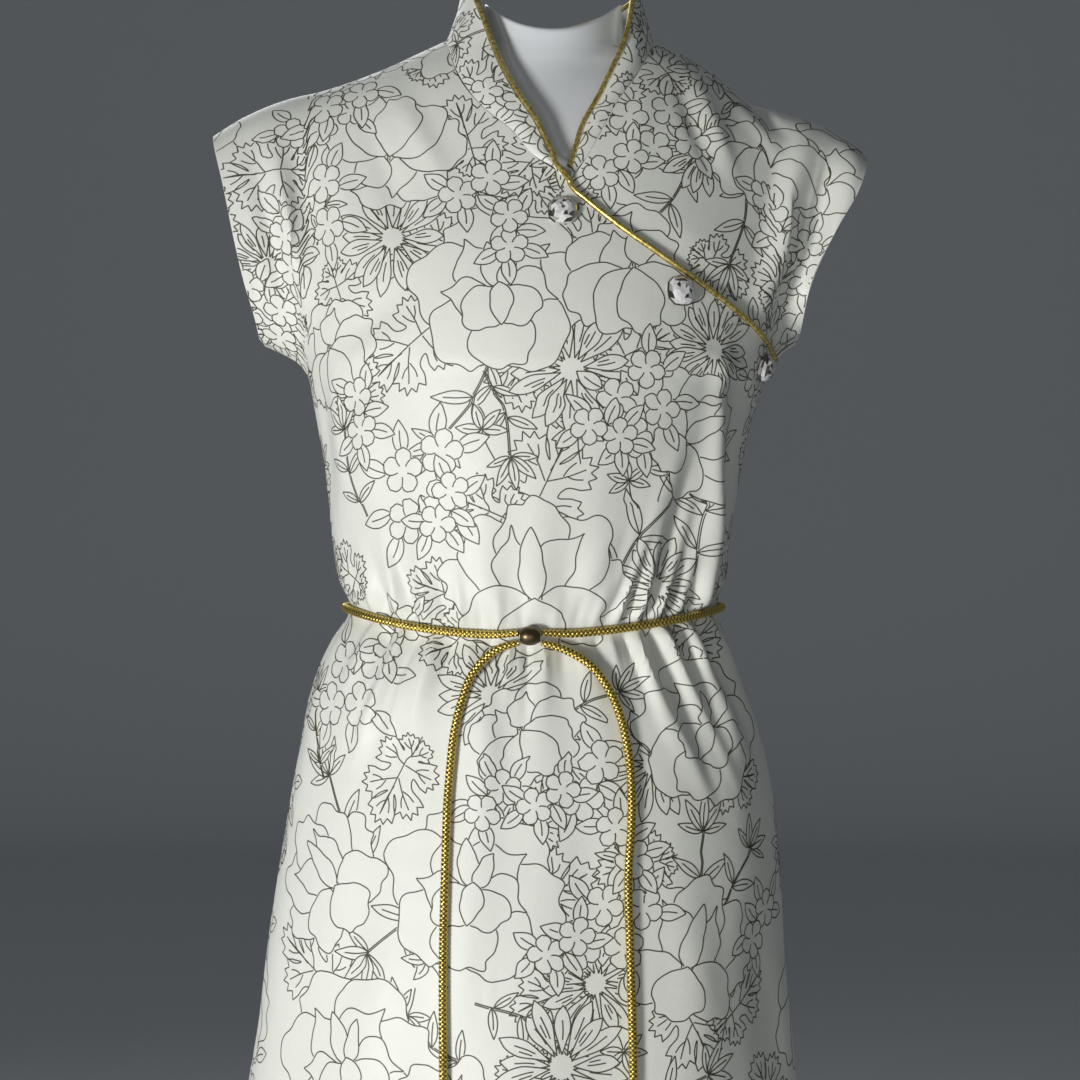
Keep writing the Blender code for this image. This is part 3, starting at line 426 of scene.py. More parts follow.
FRONT_CREASES = (
    # long soft drags over the belt on the right, leaning down to the left
    (0.1, 1.15, 0.044, 0.994, 0.0056, 0.0036), (0.108, 1.14, 0.058, 0.99, 0.0046, -0.0038),
    (0.088, 1.12, 0.048, 0.988, 0.004, -0.0034), (0.082, 1.104, 0.058, 0.986, 0.004, 0.0032),
    (0.07, 1.1, 0.034, 0.986, 0.0042, 0.0026),
    # the turn of the cloth beside the right side seam
    (0.122, 1.225, 0.103, 0.945, 0.0066, 0.0088), (0.137, 1.215, 0.116, 0.945, 0.0085, -0.007),
    # folds under the belt, spreading outwards
    (0.088, 1.05, 0.152, 0.905, 0.0042, -0.0044), (0.1, 1.05, 0.162, 0.905, 0.0046, 0.0036),
    (0.046, 1.05, 0.13, 0.87, 0.0048, -0.0042), (0.06, 1.044, 0.142, 0.88, 0.0042, 0.003),
    (-0.082, 1.05, -0.136, 0.9, 0.0044, -0.003), (-0.068, 1.044, -0.112, 0.89, 0.0044, 0.0026),
    # drags from the bust to the side and round the armholes
    (-0.148, 1.186, -0.064, 1.24, 0.01, -0.0022), (-0.15, 1.17, -0.076, 1.205, 0.008, 0.0024),
    (-0.14, 1.15, -0.09, 1.172, 0.007, -0.0018), (0.15, 1.168, 0.08, 1.196, 0.008, 0.0022),
    (0.146, 1.156, 0.096, 1.166, 0.006, -0.0018), (-0.11, 1.385, -0.046, 1.27, 0.009, 0.003),
    (-0.128, 1.372, -0.07, 1.23, 0.009, -0.003), (-0.15, 1.36, -0.112, 1.23, 0.008, 0.002),
    # the left sleeve's fold from its top to the armpit, with a hollow at each side
    (-0.186, 1.356, -0.148, 1.196, 0.006, 0.005), (-0.172, 1.36, -0.138, 1.2, 0.0066, -0.0036),
    (-0.2, 1.35, -0.164, 1.2, 0.006, -0.004), (-0.138, 1.2, -0.126, 1.07, 0.006, 0.003),
    (-0.148, 1.19, -0.138, 1.06, 0.004, -0.0022),
    # soft swells and dents of the skirt, and creases left by folding it away
    (-0.03, 0.93, -0.06, 0.72, 0.016, 0.002), (0.03, 0.94, 0.036, 0.76, 0.016, -0.002),
    (0.09, 0.88, 0.112, 0.69, 0.015, 0.0026), (-0.1, 0.9, -0.14, 0.7, 0.015, -0.0024),
    (0.14, 0.86, 0.156, 0.68, 0.012, -0.003), (0.162, 0.8, 0.172, 0.66, 0.006, 0.004),
    (-0.014, 0.998, -0.014, 0.972, 0.0014, 0.0006), (0.022, 0.854, 0.022, 0.822, 0.0014, 0.0007),
    (-0.031, 0.796, -0.031, 0.768, 0.0014, 0.0006),
)
FRONT_GATHERS = (
    # x at the belt, x that it moves by, reach up or down, half width, height
    (0.104, 0.01, 0.07, 0.0028, 0.0041), (0.097, 0.016, 0.06, 0.0024, -0.0043),
    (0.089, 0.022, 0.08, 0.0028, 0.0041), (0.082, 0.022, 0.06, 0.0024, -0.0038),
    (0.075, 0.03, 0.095, 0.0026, 0.0043), (0.068, 0.028, 0.07, 0.0023, -0.0041),
    (0.061, 0.034, 0.1, 0.0026, 0.0041), (0.054, 0.03, 0.07, 0.0023, -0.0035),
    (0.047, 0.032, 0.085, 0.0024, 0.0035), (0.04, 0.026, 0.06, 0.0023, -0.0029),
    (0.032, 0.024, 0.06, 0.0024, 0.0023), (0.021, 0.012, 0.04, 0.0023, -0.0017),
    (0.008, 0.006, 0.036, 0.0024, 0.0017), (-0.012, 0.0, 0.036, 0.0024, -0.0017),
    (-0.026, -0.002, 0.046, 0.0026, 0.0023), (-0.038, -0.003, 0.036, 0.0023, -0.0023),
    (-0.05, -0.006, 0.06, 0.0028, 0.0029), (-0.061, -0.008, 0.05, 0.0023, -0.0032),
    (-0.072, -0.012, 0.074, 0.0028, 0.0035), (-0.082, -0.014, 0.056, 0.0024, -0.0038),
    (-0.091, -0.018, 0.084, 0.003, 0.0043), (-0.1, -0.018, 0.062, 0.0024, -0.0041),
    (-0.109, -0.016, 0.06, 0.0026, 0.0032), (0.11, 0.03, -0.06, 0.003, 0.0035),
    (0.102, 0.034, -0.085, 0.0026, -0.0049), (0.094, 0.04, -0.1, 0.0032, 0.0052),
    (0.086, 0.036, -0.08, 0.0024, -0.0046), (0.078, 0.04, -0.105, 0.003, 0.0049),
    (0.07, 0.034, -0.085, 0.0024, -0.0046), (0.062, 0.03, -0.1, 0.0028, 0.0041),
    (0.053, 0.026, -0.075, 0.0024, -0.0041), (0.044, 0.018, -0.07, 0.0026, 0.0029),
    (0.035, 0.012, -0.055, 0.0023, -0.0032), (0.026, 0.006, -0.05, 0.0024, 0.002),
    (0.014, 0.002, -0.044, 0.0023, -0.0023), (0.003, 0.0, -0.06, 0.0024, 0.0032),
    (-0.008, -0.002, -0.076, 0.0023, -0.0043), (-0.019, -0.004, -0.064, 0.0026, 0.0029),
    (-0.031, -0.008, -0.05, 0.0023, -0.0029), (-0.043, -0.012, -0.064, 0.0028, 0.0023),
    (-0.055, -0.018, -0.06, 0.0024, -0.0032), (-0.066, -0.024, -0.08, 0.003, 0.0035),
    (-0.077, -0.028, -0.068, 0.0024, -0.0041), (-0.087, -0.034, -0.09, 0.0032, 0.0043),
    (-0.097, -0.036, -0.074, 0.0026, -0.0041), (-0.107, -0.032, -0.07, 0.0028, 0.0035),
)
BELT_GRIP = 0.0062


def section(name, level):
    """A column of the section table at these levels."""
    column = SECTION_COLUMNS.index(name)
    rows = np.array(SECTIONS)
    return curve(rows[:, 0], rows[:, column], level)


def lengths(points):
    """The length of a line up to each of its points."""
    return np.concatenate([[0], np.linalg.norm(np.diff(points, axis=0), axis=1).cumsum()])


def along(points, count):
    """`count` + 1 points spaced evenly along a smooth curve through `points`."""
    points = np.array(points, float)
    run = lengths(points)
    at = np.linspace(0, run[-1], count + 1)
    return np.stack([curve(run, points[:, k], at) for k in range(points.shape[1])], axis=-1)


def joined(*edges):
    """Edges end to end, each without its first point but the first."""
    return np.concatenate([edges[0]] + [edge[1:] for edge in edges[1:]])


def depth(x, z, side):
    """How far the cloth stands from the plane of the side seams, above the armpit: the cube root of
    the sum of the cubes of an ellipse for the body, rounded over to the ridge, and an ellipse for the
    sleeve, between the underarm line and the ridge."""
    ridge = curve(*np.array(RIDGE).T, x)
    across = np.clip((x - section("centre", z)) / section("half_width", z), -1, 1)
    rise = np.clip((z - ARMPIT) / (ridge - ARMPIT), 0, 1)
    body = section(side, z) * np.sqrt(1 - across**2) * np.sqrt(1 - rise**2)
    line = np.array(UNDERARM_LEFT[::-1] + (BETWEEN_UNDERARMS,) + UNDERARM_RIGHT)
    low = np.interp(x, line[:, 0], line[:, 1])
    part = np.clip((z - low) / (ridge - low), 0, 1)
    sleeve = SLEEVE_DEPTH * np.sqrt(1 - (2 * part - 1) ** 2)
    return np.cbrt(body**3 + sleeve**3)


def dip(turn, level):
    """How far the belt's sag pulls the cloth down at a turn round the body, 0 at the front: a squared
    cosine round the front times a bell over the height."""
    sag = BELT_DIP * np.clip(np.cos(turn), 0, 1) ** 2 * (1 - DIP_LEAN * np.sin(turn))
    return sag * np.exp(-(((level - WAIST) / DIP_SPREAD) ** 2))


def skirt_wave(turn, level):
    """Gathers under and over the belt, sines that die away from it, and soft flutes, cosines that grow
    to the hem."""
    below = np.exp(-(WAIST - level) / GATHER_BELOW)
    above = np.exp(-(level - WAIST) / GATHER_ABOVE)
    pinch = ease((np.abs(level - WAIST) - PINCH_FLAT) / PINCH_REACH)
    strength = GATHER_HEIGHT * pinch * np.where(level < WAIST, below, above)
    gathers = strength * np.sin(GATHERS * turn + GATHER_SWAY * np.sin(3 * turn) + GATHER_TURN)
    drop = np.clip((FLUTE_START - level) / (FLUTE_START - HEM), 0, 1) ** FLUTE_GROWTH
    flutes = FLUTE_HEIGHT * drop * np.cos(FLUTES * turn + FLUTE_SWAY * np.sin(2 * turn))
    return gathers + flutes


def fold_height(x, z, folds):
    """Soft ridges or troughs along lines seen from the front or back: a bell across, eased lengthways."""
    total = np.zeros_like(x)
    for top_x, top_z, foot_x, foot_z, width, high in folds:
        run = np.array([foot_x - top_x, foot_z - top_z])
        length = np.hypot(*run)
        ux, uz = run / length
        t = ((x - top_x) * ux + (z - top_z) * uz) / length
        off = (x - top_x) * uz - (z - top_z) * ux
        total += high * np.exp(-((off / width) ** 2)) * ease(1 - np.abs(2 * t - 1))
    return total


def gathered(x, up, gathers):
    """Gathers that spring from the belt, each highest beside it: a bell across that moves aside, widens
    and dies out along its reach, above or below the belt."""
    total = np.zeros_like(x)
    for start, aside, reach, width, high in gathers:
        t = np.maximum(up / reach, 0)
        bell = np.exp(-(((x - start - aside * t) / (width * (1 + t))) ** 2))
        total += high * bell * ease(1 - t) * (up * reach > 0)
    return total


def facing(grid):
    """Unit normals of a grid of points: its columns' direction crossed with its rows' direction. At a
    side seam they lie in the plane of the seam. A point with none takes that of the row below."""
    normal = np.cross(np.gradient(grid, axis=1), np.gradient(grid, axis=0))
    normal[np.abs(grid[..., 1]) < 2 * SEAM, 1] = 0
    for _ in range(6):
        none = np.linalg.norm(normal, axis=-1) < 1e-12
        normal[none] = np.roll(normal, 1, axis=0)[none]
    return normal / np.linalg.norm(normal, axis=-1, keepdims=True)


def patch(bottom, top, left, right):
    """Coons patch between four edges that share their corners: the sum of the two ruled surfaces less
    the surface through the corners."""
    s = np.linspace(0, 1, len(bottom))[None, :, None]
    t = (1 - (1 - np.linspace(0, 1, len(left))) ** 2)[:, None, None]
    between = (1 - t) * bottom[None] + t * top[None]
    beside = (1 - s) * left[:, None] + s * right[:, None]
    low = (1 - s) * bottom[0] + s * bottom[-1]
    high = (1 - s) * top[0] + s * top[-1]
    return between + beside - (1 - t) * low - t * high


def squared(points):
    """The spacing that the patch gives its rows, on an edge whose points are evenly spaced."""
    t = np.linspace(0, 1, len(points))
    at = 1 - (1 - t) ** 2
    return np.stack([np.interp(at, t, points[:, k]) for k in range(2)], axis=-1)


def body_rows(levels, turns, side):
    """Rows of a panel below the armpit, at turns round the body from 0 at the front: half ellipses
    with the gathers and flutes added to both half axes."""
    level, turn = np.meshgrid(levels, turns, indexing="ij")
    wave = skirt_wave(turn, level) * np.abs(np.cos(turn)) ** 0.5
    x = section("centre", level) + (section("half_width", level) + wave) * np.sin(turn)
    y = -(section(side, level) + wave) * np.cos(turn)
    return np.stack([x, y, level - dip(turn, level)], axis=-1)


def raised(plane, sign):
    """The cloth's points over a grid of (x, height) above the armpit."""
    side = "front" if sign < 0 else "back"
    y = sign * np.maximum(depth(plane[..., 0], plane[..., 1], side), SEAM / 2)
    return np.stack([plane[..., 0], y, plane[..., 1]], axis=-1)


def folded(grid, folds, creases, gathers=()):
    """The grid with its folds, creases and gathers, which die out at its edges and, but for the folds,
    at the belt."""
    rows, columns = grid.shape[:2]
    s = np.linspace(-1, 1, columns)[None, :]
    t = np.linspace(0, 1, rows)[:, None]
    inside = (1 - s**FOLD_FADE) * ease((1 - t) / TOP_FADE)
    across = (grid[..., 0] - section("centre", WAIST)) / section("half_width", WAIST)
    belt = WAIST - dip(np.arcsin(np.clip(across, -1, 1)), WAIST) * (grid[..., 1] < 0)
    free = 1 - np.exp(-(((grid[..., 2] - belt) / BELT_GRIP) ** 2))
    high = fold_height(grid[..., 0], grid[..., 2], folds) * inside
    small = fold_height(grid[..., 0], grid[..., 2], creases)
    small = small + gathered(grid[..., 0], grid[..., 2] - belt, gathers)
    high += small * inside * free
    return grid + facing(grid) * high[..., None]


def wall(name, outer, material, flat_map):
    """A closed wall of cloth: the outer grid, the same grid a wall's thickness inside, and their rim."""
    rows, columns = outer.shape[:2]
    inner = outer - WALL * facing(outer)
    index = np.arange(rows * columns).reshape(rows, columns)
    quads = cells(index)
    border = np.concatenate([index[0], index[1:, -1], index[-1, -2::-1], index[-2:0:-1, 0]])
    ahead = np.roll(border, -1)
    rim = np.stack([ahead, border, border + index.size, ahead + index.size], axis=-1)
    faces = np.concatenate([quads, quads[:, ::-1] + index.size, rim])
    mesh = bpy.data.meshes.new(name)
    points = np.concatenate([outer.reshape(-1, 3), inner.reshape(-1, 3)])
    mesh.from_pydata(points.tolist(), [], faces.tolist())
    places = np.tile(flat_map.reshape(-1, 2), (2, 1))[faces.ravel()]
    mesh.uv_layers.new(name="flat").data.foreach_set("uv", places.astype(np.float32).ravel())
    mesh.materials.append(material)
    return show(name, mesh)


def rows_between(low, high, step):
    """Levels from low to high, no further apart than a step."""
    return np.linspace(low, high, int(math.ceil((high - low) / step)) + 1)


GRAIN = 0.002
FLAT_LOW, FLAT_HIGH = 1.080, 1.440
FLAT_SIDE = 0.260


def flat_above(plane, side):
    """Where the cloth's points lie on the flat cloth, above the armpit: the length along the cloth from
    the centre, at one height, and from the armpit's level, at one x."""
    xs = np.arange(-FLAT_SIDE, FLAT_SIDE + GRAIN, GRAIN)
    zs = np.arange(FLAT_LOW, FLAT_HIGH + GRAIN, GRAIN)
    x, z = np.meshgrid(xs, zs)
    y = depth(x, z, side)
    over = np.hypot(GRAIN, np.diff(y, axis=1, prepend=y[:, :1])).cumsum(axis=1)
    over -= over[:, [np.argmin(np.abs(xs))]]
    up = np.hypot(GRAIN, np.diff(y, axis=0, prepend=y[:1])).cumsum(axis=0)
    up -= up[[np.argmin(np.abs(zs - ARMPIT))]]
    i = (plane[..., 1] - FLAT_LOW) / GRAIN
    j = (plane[..., 0] + FLAT_SIDE) / GRAIN
    return between_cells(np.stack([over, up], axis=-1), i, j)


def between_cells(table, i, j):
    """A grid of values read at fractional rows i and columns j, on the two triangles of each cell."""
    i0 = np.clip(np.floor(i).astype(int), 0, table.shape[0] - 2)
    j0 = np.clip(np.floor(j).astype(int), 0, table.shape[1] - 2)
    a, b = (i - i0)[..., None], (j - j0)[..., None]
    here, opposite = table[i0, j0], table[i0 + 1, j0 + 1]
    by_column = here + b * (table[i0, j0 + 1] - here) + a * (opposite - table[i0, j0 + 1])
    by_row = here + a * (table[i0 + 1, j0] - here) + b * (opposite - table[i0 + 1, j0])
    return np.where(b > a, by_column, by_row)


def flat_below(grid):
    """Where the points of the rows below the armpit lie on the flat cloth: the length along each row
    from its middle, and down each column from the armpit."""
    across = np.linalg.norm(np.diff(grid, axis=1), axis=-1).cumsum(axis=1)
    across = np.concatenate([np.zeros((len(grid), 1)), across], axis=1)
    crossing = np.argmin(np.abs(grid[..., 0]), axis=1)[:, None]
    across -= np.take_along_axis(across, crossing, axis=1)
    rise = np.linalg.norm(np.diff(grid, axis=0), axis=-1).cumsum(axis=0)
    rise = np.concatenate([np.zeros((1, grid.shape[1])), rise], axis=0)
    return np.stack([across, rise - rise[-1:]], axis=-1)


SHOULDER_COLUMNS = 64
NECK_COLUMNS = 52
OVERLAP_COLUMNS = 92
SIDE_ROWS = 14
SLEEVE_ROWS = 46
LOW_ROWS = (
    # from, to, furthest apart. Close together at the waist
    (HEM, 0.90, 0.0072),
    (0.90, 1.10, 0.0032),
    (1.10, ARMPIT, 0.0055),
)
SEAM_DEPTH = 0.11
seam_turn = math.pi / 2 - math.asin(SEAM / 2 / SEAM_DEPTH)
front_columns = SHOULDER_COLUMNS + NECK_COLUMNS + OVERLAP_COLUMNS
low_levels = np.concatenate([rows_between(*row)[:-1] for row in LOW_ROWS] + [[ARMPIT]])
front_low = body_rows(low_levels, np.linspace(-seam_turn, seam_turn, front_columns + 1), "front")
left_shoulder = np.array([row for row in RIDGE if row[0] <= NECK_LEFT[0][0]])
front_top = joined(
    along(left_shoulder, SHOULDER_COLUMNS),
    along(NECK_LEFT, NECK_COLUMNS),
    along(OVERLAP_EDGE, OVERLAP_COLUMNS),
)
front_bottom = front_low[-1][:, [0, 2]]
front_left = squared(joined(along(UNDERARM_LEFT, SIDE_ROWS), along(HEM_LEFT, SLEEVE_ROWS)))
front_left[0] = front_bottom[0]
front_right = squared(along(UNDERARM_RIGHT[:2] + (OVERLAP_EDGE[-1],), SIDE_ROWS + SLEEVE_ROWS))
front_right[0] = front_bottom[-1]
front_plane = patch(front_bottom, front_top, front_left, front_right)
front_smooth = np.concatenate([front_low, raised(front_plane, -1)[1:]])
front_flat = np.concatenate([flat_below(front_low), flat_above(front_plane, "front")[1:]])
front_outer = folded(front_smooth, FRONT_FOLDS, FRONT_CREASES, FRONT_GATHERS)

ivory_cloth = paint(
    "ivory_satin_polyester", (0.80, 0.80, 0.735), 0.46,
    **{"Sheen Weight": 0.25, "Sheen Roughness": 0.4, "Specular IOR Level": 0.35},
)
object_place = placed_on(ivory_cloth)
blotch = noise(ivory_cloth, object_place, 3.2, 3.0)
thread = noise(ivory_cloth, placed_on(ivory_cloth, (2600.0, 500.0, 1.0)), 1.0, 2.0)
weave = bumped(ivory_cloth, thread, 0.16, 0.0004)
fed(
    ivory_cloth,
    Base_Color=ramp(ivory_cloth, blotch, (0.0, (0.815, 0.838, 0.785)), (1.0, (0.785, 0.795, 0.715))),
    Normal=bumped(ivory_cloth, noise(ivory_cloth, object_place, 16.0, 3.0), 0.25, 0.006, weave),
)

front_panel = wall("front_cloth", front_outer, ivory_cloth, front_flat)
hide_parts("front_panel")


# Under front: the right cap sleeve and shoulder, of the same cloth. Its lower edge lies under the
# overlap, where the buttons would fasten to it.
NECK_RIGHT = (
    (0.02, 1.299), (0.03, 1.314), (0.0406, 1.334), (0.052, 1.356), (0.065, 1.376), (0.0735, 1.395),
    (0.0775, 1.409),
)
UNDERLAP_EDGE = (
    (0.008, 1.283), (0.024, 1.266), (0.05, 1.247), (0.09, 1.222), (0.125, 1.198), (0.145, 1.18),
    (0.154, ARMPIT),
)
UNDERLAP_DROP = 0.0023
UNDERLAP_RISE = (0.006, 0.035)
UNDER_CREASES = (
    # the sleeve's broad fold from its top to the armpit, with a deep hollow outside it
    (0.184, 1.352, 0.136, 1.19, 0.0105, 0.0095), (0.203, 1.35, 0.161, 1.19, 0.011, -0.013),
    (0.196, 1.344, 0.152, 1.185, 0.0024, 0.0026), (0.22, 1.338, 0.178, 1.195, 0.0056, 0.004),
    (0.17, 1.36, 0.133, 1.19, 0.007, -0.003),
    # drags from the collar over the shoulder
    (0.086, 1.388, 0.12, 1.29, 0.006, -0.003), (0.098, 1.392, 0.134, 1.29, 0.006, 0.003),
    (0.118, 1.392, 0.176, 1.33, 0.0048, -0.0028), (0.124, 1.374, 0.17, 1.31, 0.006, 0.002),
    (0.076, 1.38, 0.052, 1.29, 0.008, 0.0016),
)
UNDER_COLUMNS = 96
UNDERARM_COLUMNS = 30
UNDER_ROWS = 72
UNDER_SHIFT = (0.018, -0.012)


def under_offset(x, z):
    """How far the under front lies inside the cloth's surface: most under the overlap's edge, easing
    to nothing above it."""
    edge = np.array(OVERLAP_EDGE)
    over = z - np.interp(x, edge[:, 0], edge[:, 1])
    start, end = UNDERLAP_RISE
    return UNDERLAP_DROP * (1 - ease((over - start) / (end - start)))


right_shoulder = np.array([row for row in RIDGE if row[0] >= NECK_RIGHT[-1][0]])
under_plane = patch(
    joined(along(UNDERLAP_EDGE, UNDER_COLUMNS - UNDERARM_COLUMNS), along(UNDERARM_RIGHT, UNDERARM_COLUMNS)),
    along(right_shoulder, UNDER_COLUMNS),
    squared(along((UNDERLAP_EDGE[0],) + NECK_RIGHT, UNDER_ROWS)),
    squared(along(HEM_RIGHT, UNDER_ROWS)),
)
under_smooth = raised(under_plane, -1)
under_smooth -= facing(under_smooth) * under_offset(under_plane[..., 0], under_plane[..., 1])[..., None]
under_flat = flat_above(under_plane, "front") + UNDER_SHIFT
under_outer = folded(under_smooth, FRONT_FOLDS, UNDER_CREASES)
under_front = wall("under_front_cloth", under_outer, ivory_cloth, under_flat)
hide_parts("under_front")


# Back panel: one piece of the same cloth from shoulder to hem with both back sleeves.
NECK_BACK = (
    (0.0775, 1.409), (0.07, 1.4), (0.045, 1.389), (0.006, 1.385), (-0.033, 1.389), (-0.057, 1.4),
    (-0.0645, 1.409),
)
BACK_FOLDS = (
    (0.105, 1.16, 0.08, 1.035, 0.012, 0.0035), (-0.105, 1.16, -0.086, 1.035, 0.012, 0.0035),
    (0.02, 1.12, 0.004, 1.03, 0.011, 0.003), (0.07, 1.0, 0.11, 0.86, 0.01, 0.0045),
    (-0.07, 1.0, -0.108, 0.87, 0.01, 0.0045), (0.172, 1.32, 0.156, 1.215, 0.008, 0.0035),
    (-0.172, 1.32, -0.158, 1.215, 0.008, 0.0035),
)
BACK_CREASES = (
    (0.066, 1.09, 0.05, 0.996, 0.0042, 0.0026), (0.05, 1.08, 0.04, 0.996, 0.0036, -0.0022),
    (0.03, 1.07, 0.024, 0.998, 0.0036, 0.0018), (0.01, 1.062, 0.008, 0.998, 0.0032, -0.0016),
    (-0.014, 1.066, -0.01, 0.998, 0.0036, 0.0018), (-0.034, 1.074, -0.028, 0.996, 0.0038, -0.0022),
    (-0.054, 1.07, -0.046, 0.996, 0.0036, 0.0024), (-0.078, 1.082, -0.064, 0.996, 0.0042, -0.0024),
    (-0.104, 1.074, -0.092, 0.998, 0.0036, 0.002), (0.088, 1.076, 0.078, 0.998, 0.0036, -0.002),
    (0.108, 1.08, 0.1, 1.0, 0.0036, 0.0022), (0.006, 1.044, 0.012, 0.94, 0.004, 0.0022),
    (0.026, 1.044, 0.038, 0.946, 0.0036, -0.0022), (0.046, 1.044, 0.066, 0.94, 0.0042, 0.0026),
    (0.068, 1.044, 0.096, 0.93, 0.0042, -0.003), (0.09, 1.046, 0.122, 0.94, 0.004, 0.0026),
    (-0.012, 1.044, -0.016, 0.95, 0.0036, -0.002), (-0.032, 1.044, -0.042, 0.94, 0.004, 0.0024),
    (-0.054, 1.044, -0.074, 0.946, 0.0036, -0.0024), (-0.074, 1.046, -0.104, 0.93, 0.0044, 0.003),
    (-0.096, 1.046, -0.13, 0.944, 0.0036, -0.0026), (0.15, 1.19, 0.076, 1.244, 0.01, -0.002),
    (-0.15, 1.185, -0.08, 1.238, 0.01, 0.002), (0.106, 1.366, 0.05, 1.286, 0.01, 0.0018),
    (-0.096, 1.362, -0.04, 1.28, 0.01, -0.0018), (0.186, 1.34, 0.17, 1.225, 0.005, 0.0022),
    (-0.19, 1.345, -0.176, 1.225, 0.005, -0.0022), (0.06, 0.9, 0.09, 0.64, 0.018, 0.003),
    (-0.05, 0.9, -0.074, 0.64, 0.018, -0.0026),
)
BACK_GATHERS = tuple(
    # the front's mirrored, a little aside and shorter
    (-x - 0.002, -aside, 0.9 * reach, width, high)
    for x, aside, reach, width, high in FRONT_GATHERS
)
BACK_NECK_COLUMNS = 60
BACK_SHIFT = (0.27, 0.35)
back_columns = 2 * SHOULDER_COLUMNS + BACK_NECK_COLUMNS
back_turns = np.linspace(math.pi - seam_turn, math.pi + seam_turn, back_columns + 1)
back_low = body_rows(low_levels, back_turns, "back")
back_top = joined(
    along(right_shoulder[::-1], SHOULDER_COLUMNS),
    along(NECK_BACK, BACK_NECK_COLUMNS),
    along(left_shoulder[::-1], SHOULDER_COLUMNS),
)
back_bottom = back_low[-1][:, [0, 2]]
back_start = squared(joined(along(UNDERARM_RIGHT, SIDE_ROWS), along(HEM_RIGHT, SLEEVE_ROWS)))
back_end = squared(joined(along(UNDERARM_LEFT, SIDE_ROWS), along(HEM_LEFT, SLEEVE_ROWS)))
back_start[0] = back_bottom[0]
back_end[0] = back_bottom[-1]
back_plane = patch(back_bottom, back_top, back_start, back_end)
back_smooth = np.concatenate([back_low, raised(back_plane, 1)[1:]])
back_above = flat_above(back_plane, "back") * (-1, 1)
back_flat = np.concatenate([flat_below(back_low), back_above[1:]]) + BACK_SHIFT
back_outer = folded(back_smooth, BACK_FOLDS, BACK_CREASES, BACK_GATHERS)
back_panel = wall("back_cloth", back_outer, ivory_cloth, back_flat)
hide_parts("back_panel")


# Collar: a stiffened band of the same cloth round the neck, which tapers to a notch at both front ends.
COLLAR_LEFT = (
    # seam x, seam height, top x, top y, top height
    (0.015, 1.301, 0.015, -0.0912, 1.3022), (0.011, 1.3056, 0.0104, -0.089, 1.308),
    (-0.0026, 1.3141, 0.0054, -0.0855, 1.3175), (-0.0177, 1.3322, -0.0042, -0.079, 1.3385),
    (-0.0396, 1.3522, -0.0188, -0.069, 1.3625), (-0.05, 1.367, -0.0278, -0.0595, 1.381),
    (-0.056, 1.379, -0.0334, -0.051, 1.396), (-0.0605, 1.393, -0.04, -0.041, 1.416),
    (-0.0637, 1.405, -0.0455, -0.029, 1.4315),
)
COLLAR_BACK = (
    (-0.0625, 1.407, -0.0525, -0.008, 1.441), (-0.057, 1.4, -0.055, 0.018, 1.443),
    (-0.033, 1.389, -0.034, 0.042, 1.435), (0.006, 1.385, 0.006, 0.051, 1.427),
    (0.045, 1.389, 0.047, 0.042, 1.435), (0.07, 1.4, 0.069, 0.018, 1.443),
    (0.0755, 1.407, 0.068, -0.008, 1.441),
)
COLLAR_RIGHT = (
    (0.0768, 1.405, 0.064, -0.029, 1.4315), (0.0735, 1.395, 0.0616, -0.04, 1.416),
    (0.069, 1.384, 0.058, -0.049, 1.399), (0.061, 1.37, 0.0508, -0.057, 1.38),
    (0.052, 1.356, 0.0413, -0.065, 1.359), (0.0406, 1.334, 0.03, -0.073, 1.3375),
    (0.03, 1.314, 0.0243, -0.079, 1.32), (0.024, 1.306, 0.0215, -0.083, 1.311),
    (0.0205, 1.3, 0.0192, -0.0855, 1.306),
)
COLLAR_GAP = 0.0003
COLLAR_BULGE = 0.0015
COLLAR_POINTS = 200
COLLAR_ROWS = 18
COLLAR_SHIFT = (-0.27, 0.055)


def panel_surface(x, z):
    """Points and normals of the smooth front cloth above the armpit, at x and height from the front."""
    step = 0.0005
    side = np.array([-step, 0, step])
    near = np.stack(
        np.broadcast_arrays(x[..., None, None] + side[None, :], z[..., None, None] + side[:, None]), axis=-1
    )
    grid = raised(near, -1)
    over = grid[..., 1, 2, :] - grid[..., 1, 0, :]
    up = grid[..., 2, 1, :] - grid[..., 0, 1, :]
    normal = np.cross(over, up)
    return grid[..., 1, 1, :], normal / np.linalg.norm(normal, axis=-1, keepdims=True)


left_rows, back_rows, right_rows = (np.array(rows) for rows in (COLLAR_LEFT, COLLAR_BACK, COLLAR_RIGHT))
left_foot = panel_surface(left_rows[:, 0], left_rows[:, 1])[0]
back_foot = raised(back_rows[:, :2], 1)
right_foot, right_normal = panel_surface(right_rows[:, 0], right_rows[:, 1])
right_foot = right_foot - right_normal * under_offset(right_rows[:, 0], right_rows[:, 1])[:, None]
collar_feet = np.concatenate([left_foot, back_foot, right_foot])
collar_tops = np.concatenate([left_rows, back_rows, right_rows])[:, 2:]
stations = along(np.concatenate([collar_feet, collar_tops], axis=1), COLLAR_POINTS)
foot, crest = stations[:, :3], stations[:, 3:]
stand_unit = (crest - foot) / np.linalg.norm(crest - foot, axis=1, keepdims=True)
foot = foot + COLLAR_GAP * stand_unit
t = np.linspace(0, 1, COLLAR_ROWS + 1)[:, None, None]
band = ((1 - t) * foot[None] + t * crest[None])[:, ::-1]
if facing(band)[0, COLLAR_POINTS // 2, 1] < 0:
    band = band[:, ::-1]
band = band + facing(band) * COLLAR_BULGE * np.sin(math.pi * t)
collar_across = np.linalg.norm(np.diff(band[:1], axis=1), axis=-1).cumsum(axis=1)
collar_across = np.concatenate([[[0.0]], collar_across], axis=1) + np.zeros((COLLAR_ROWS + 1, 1))
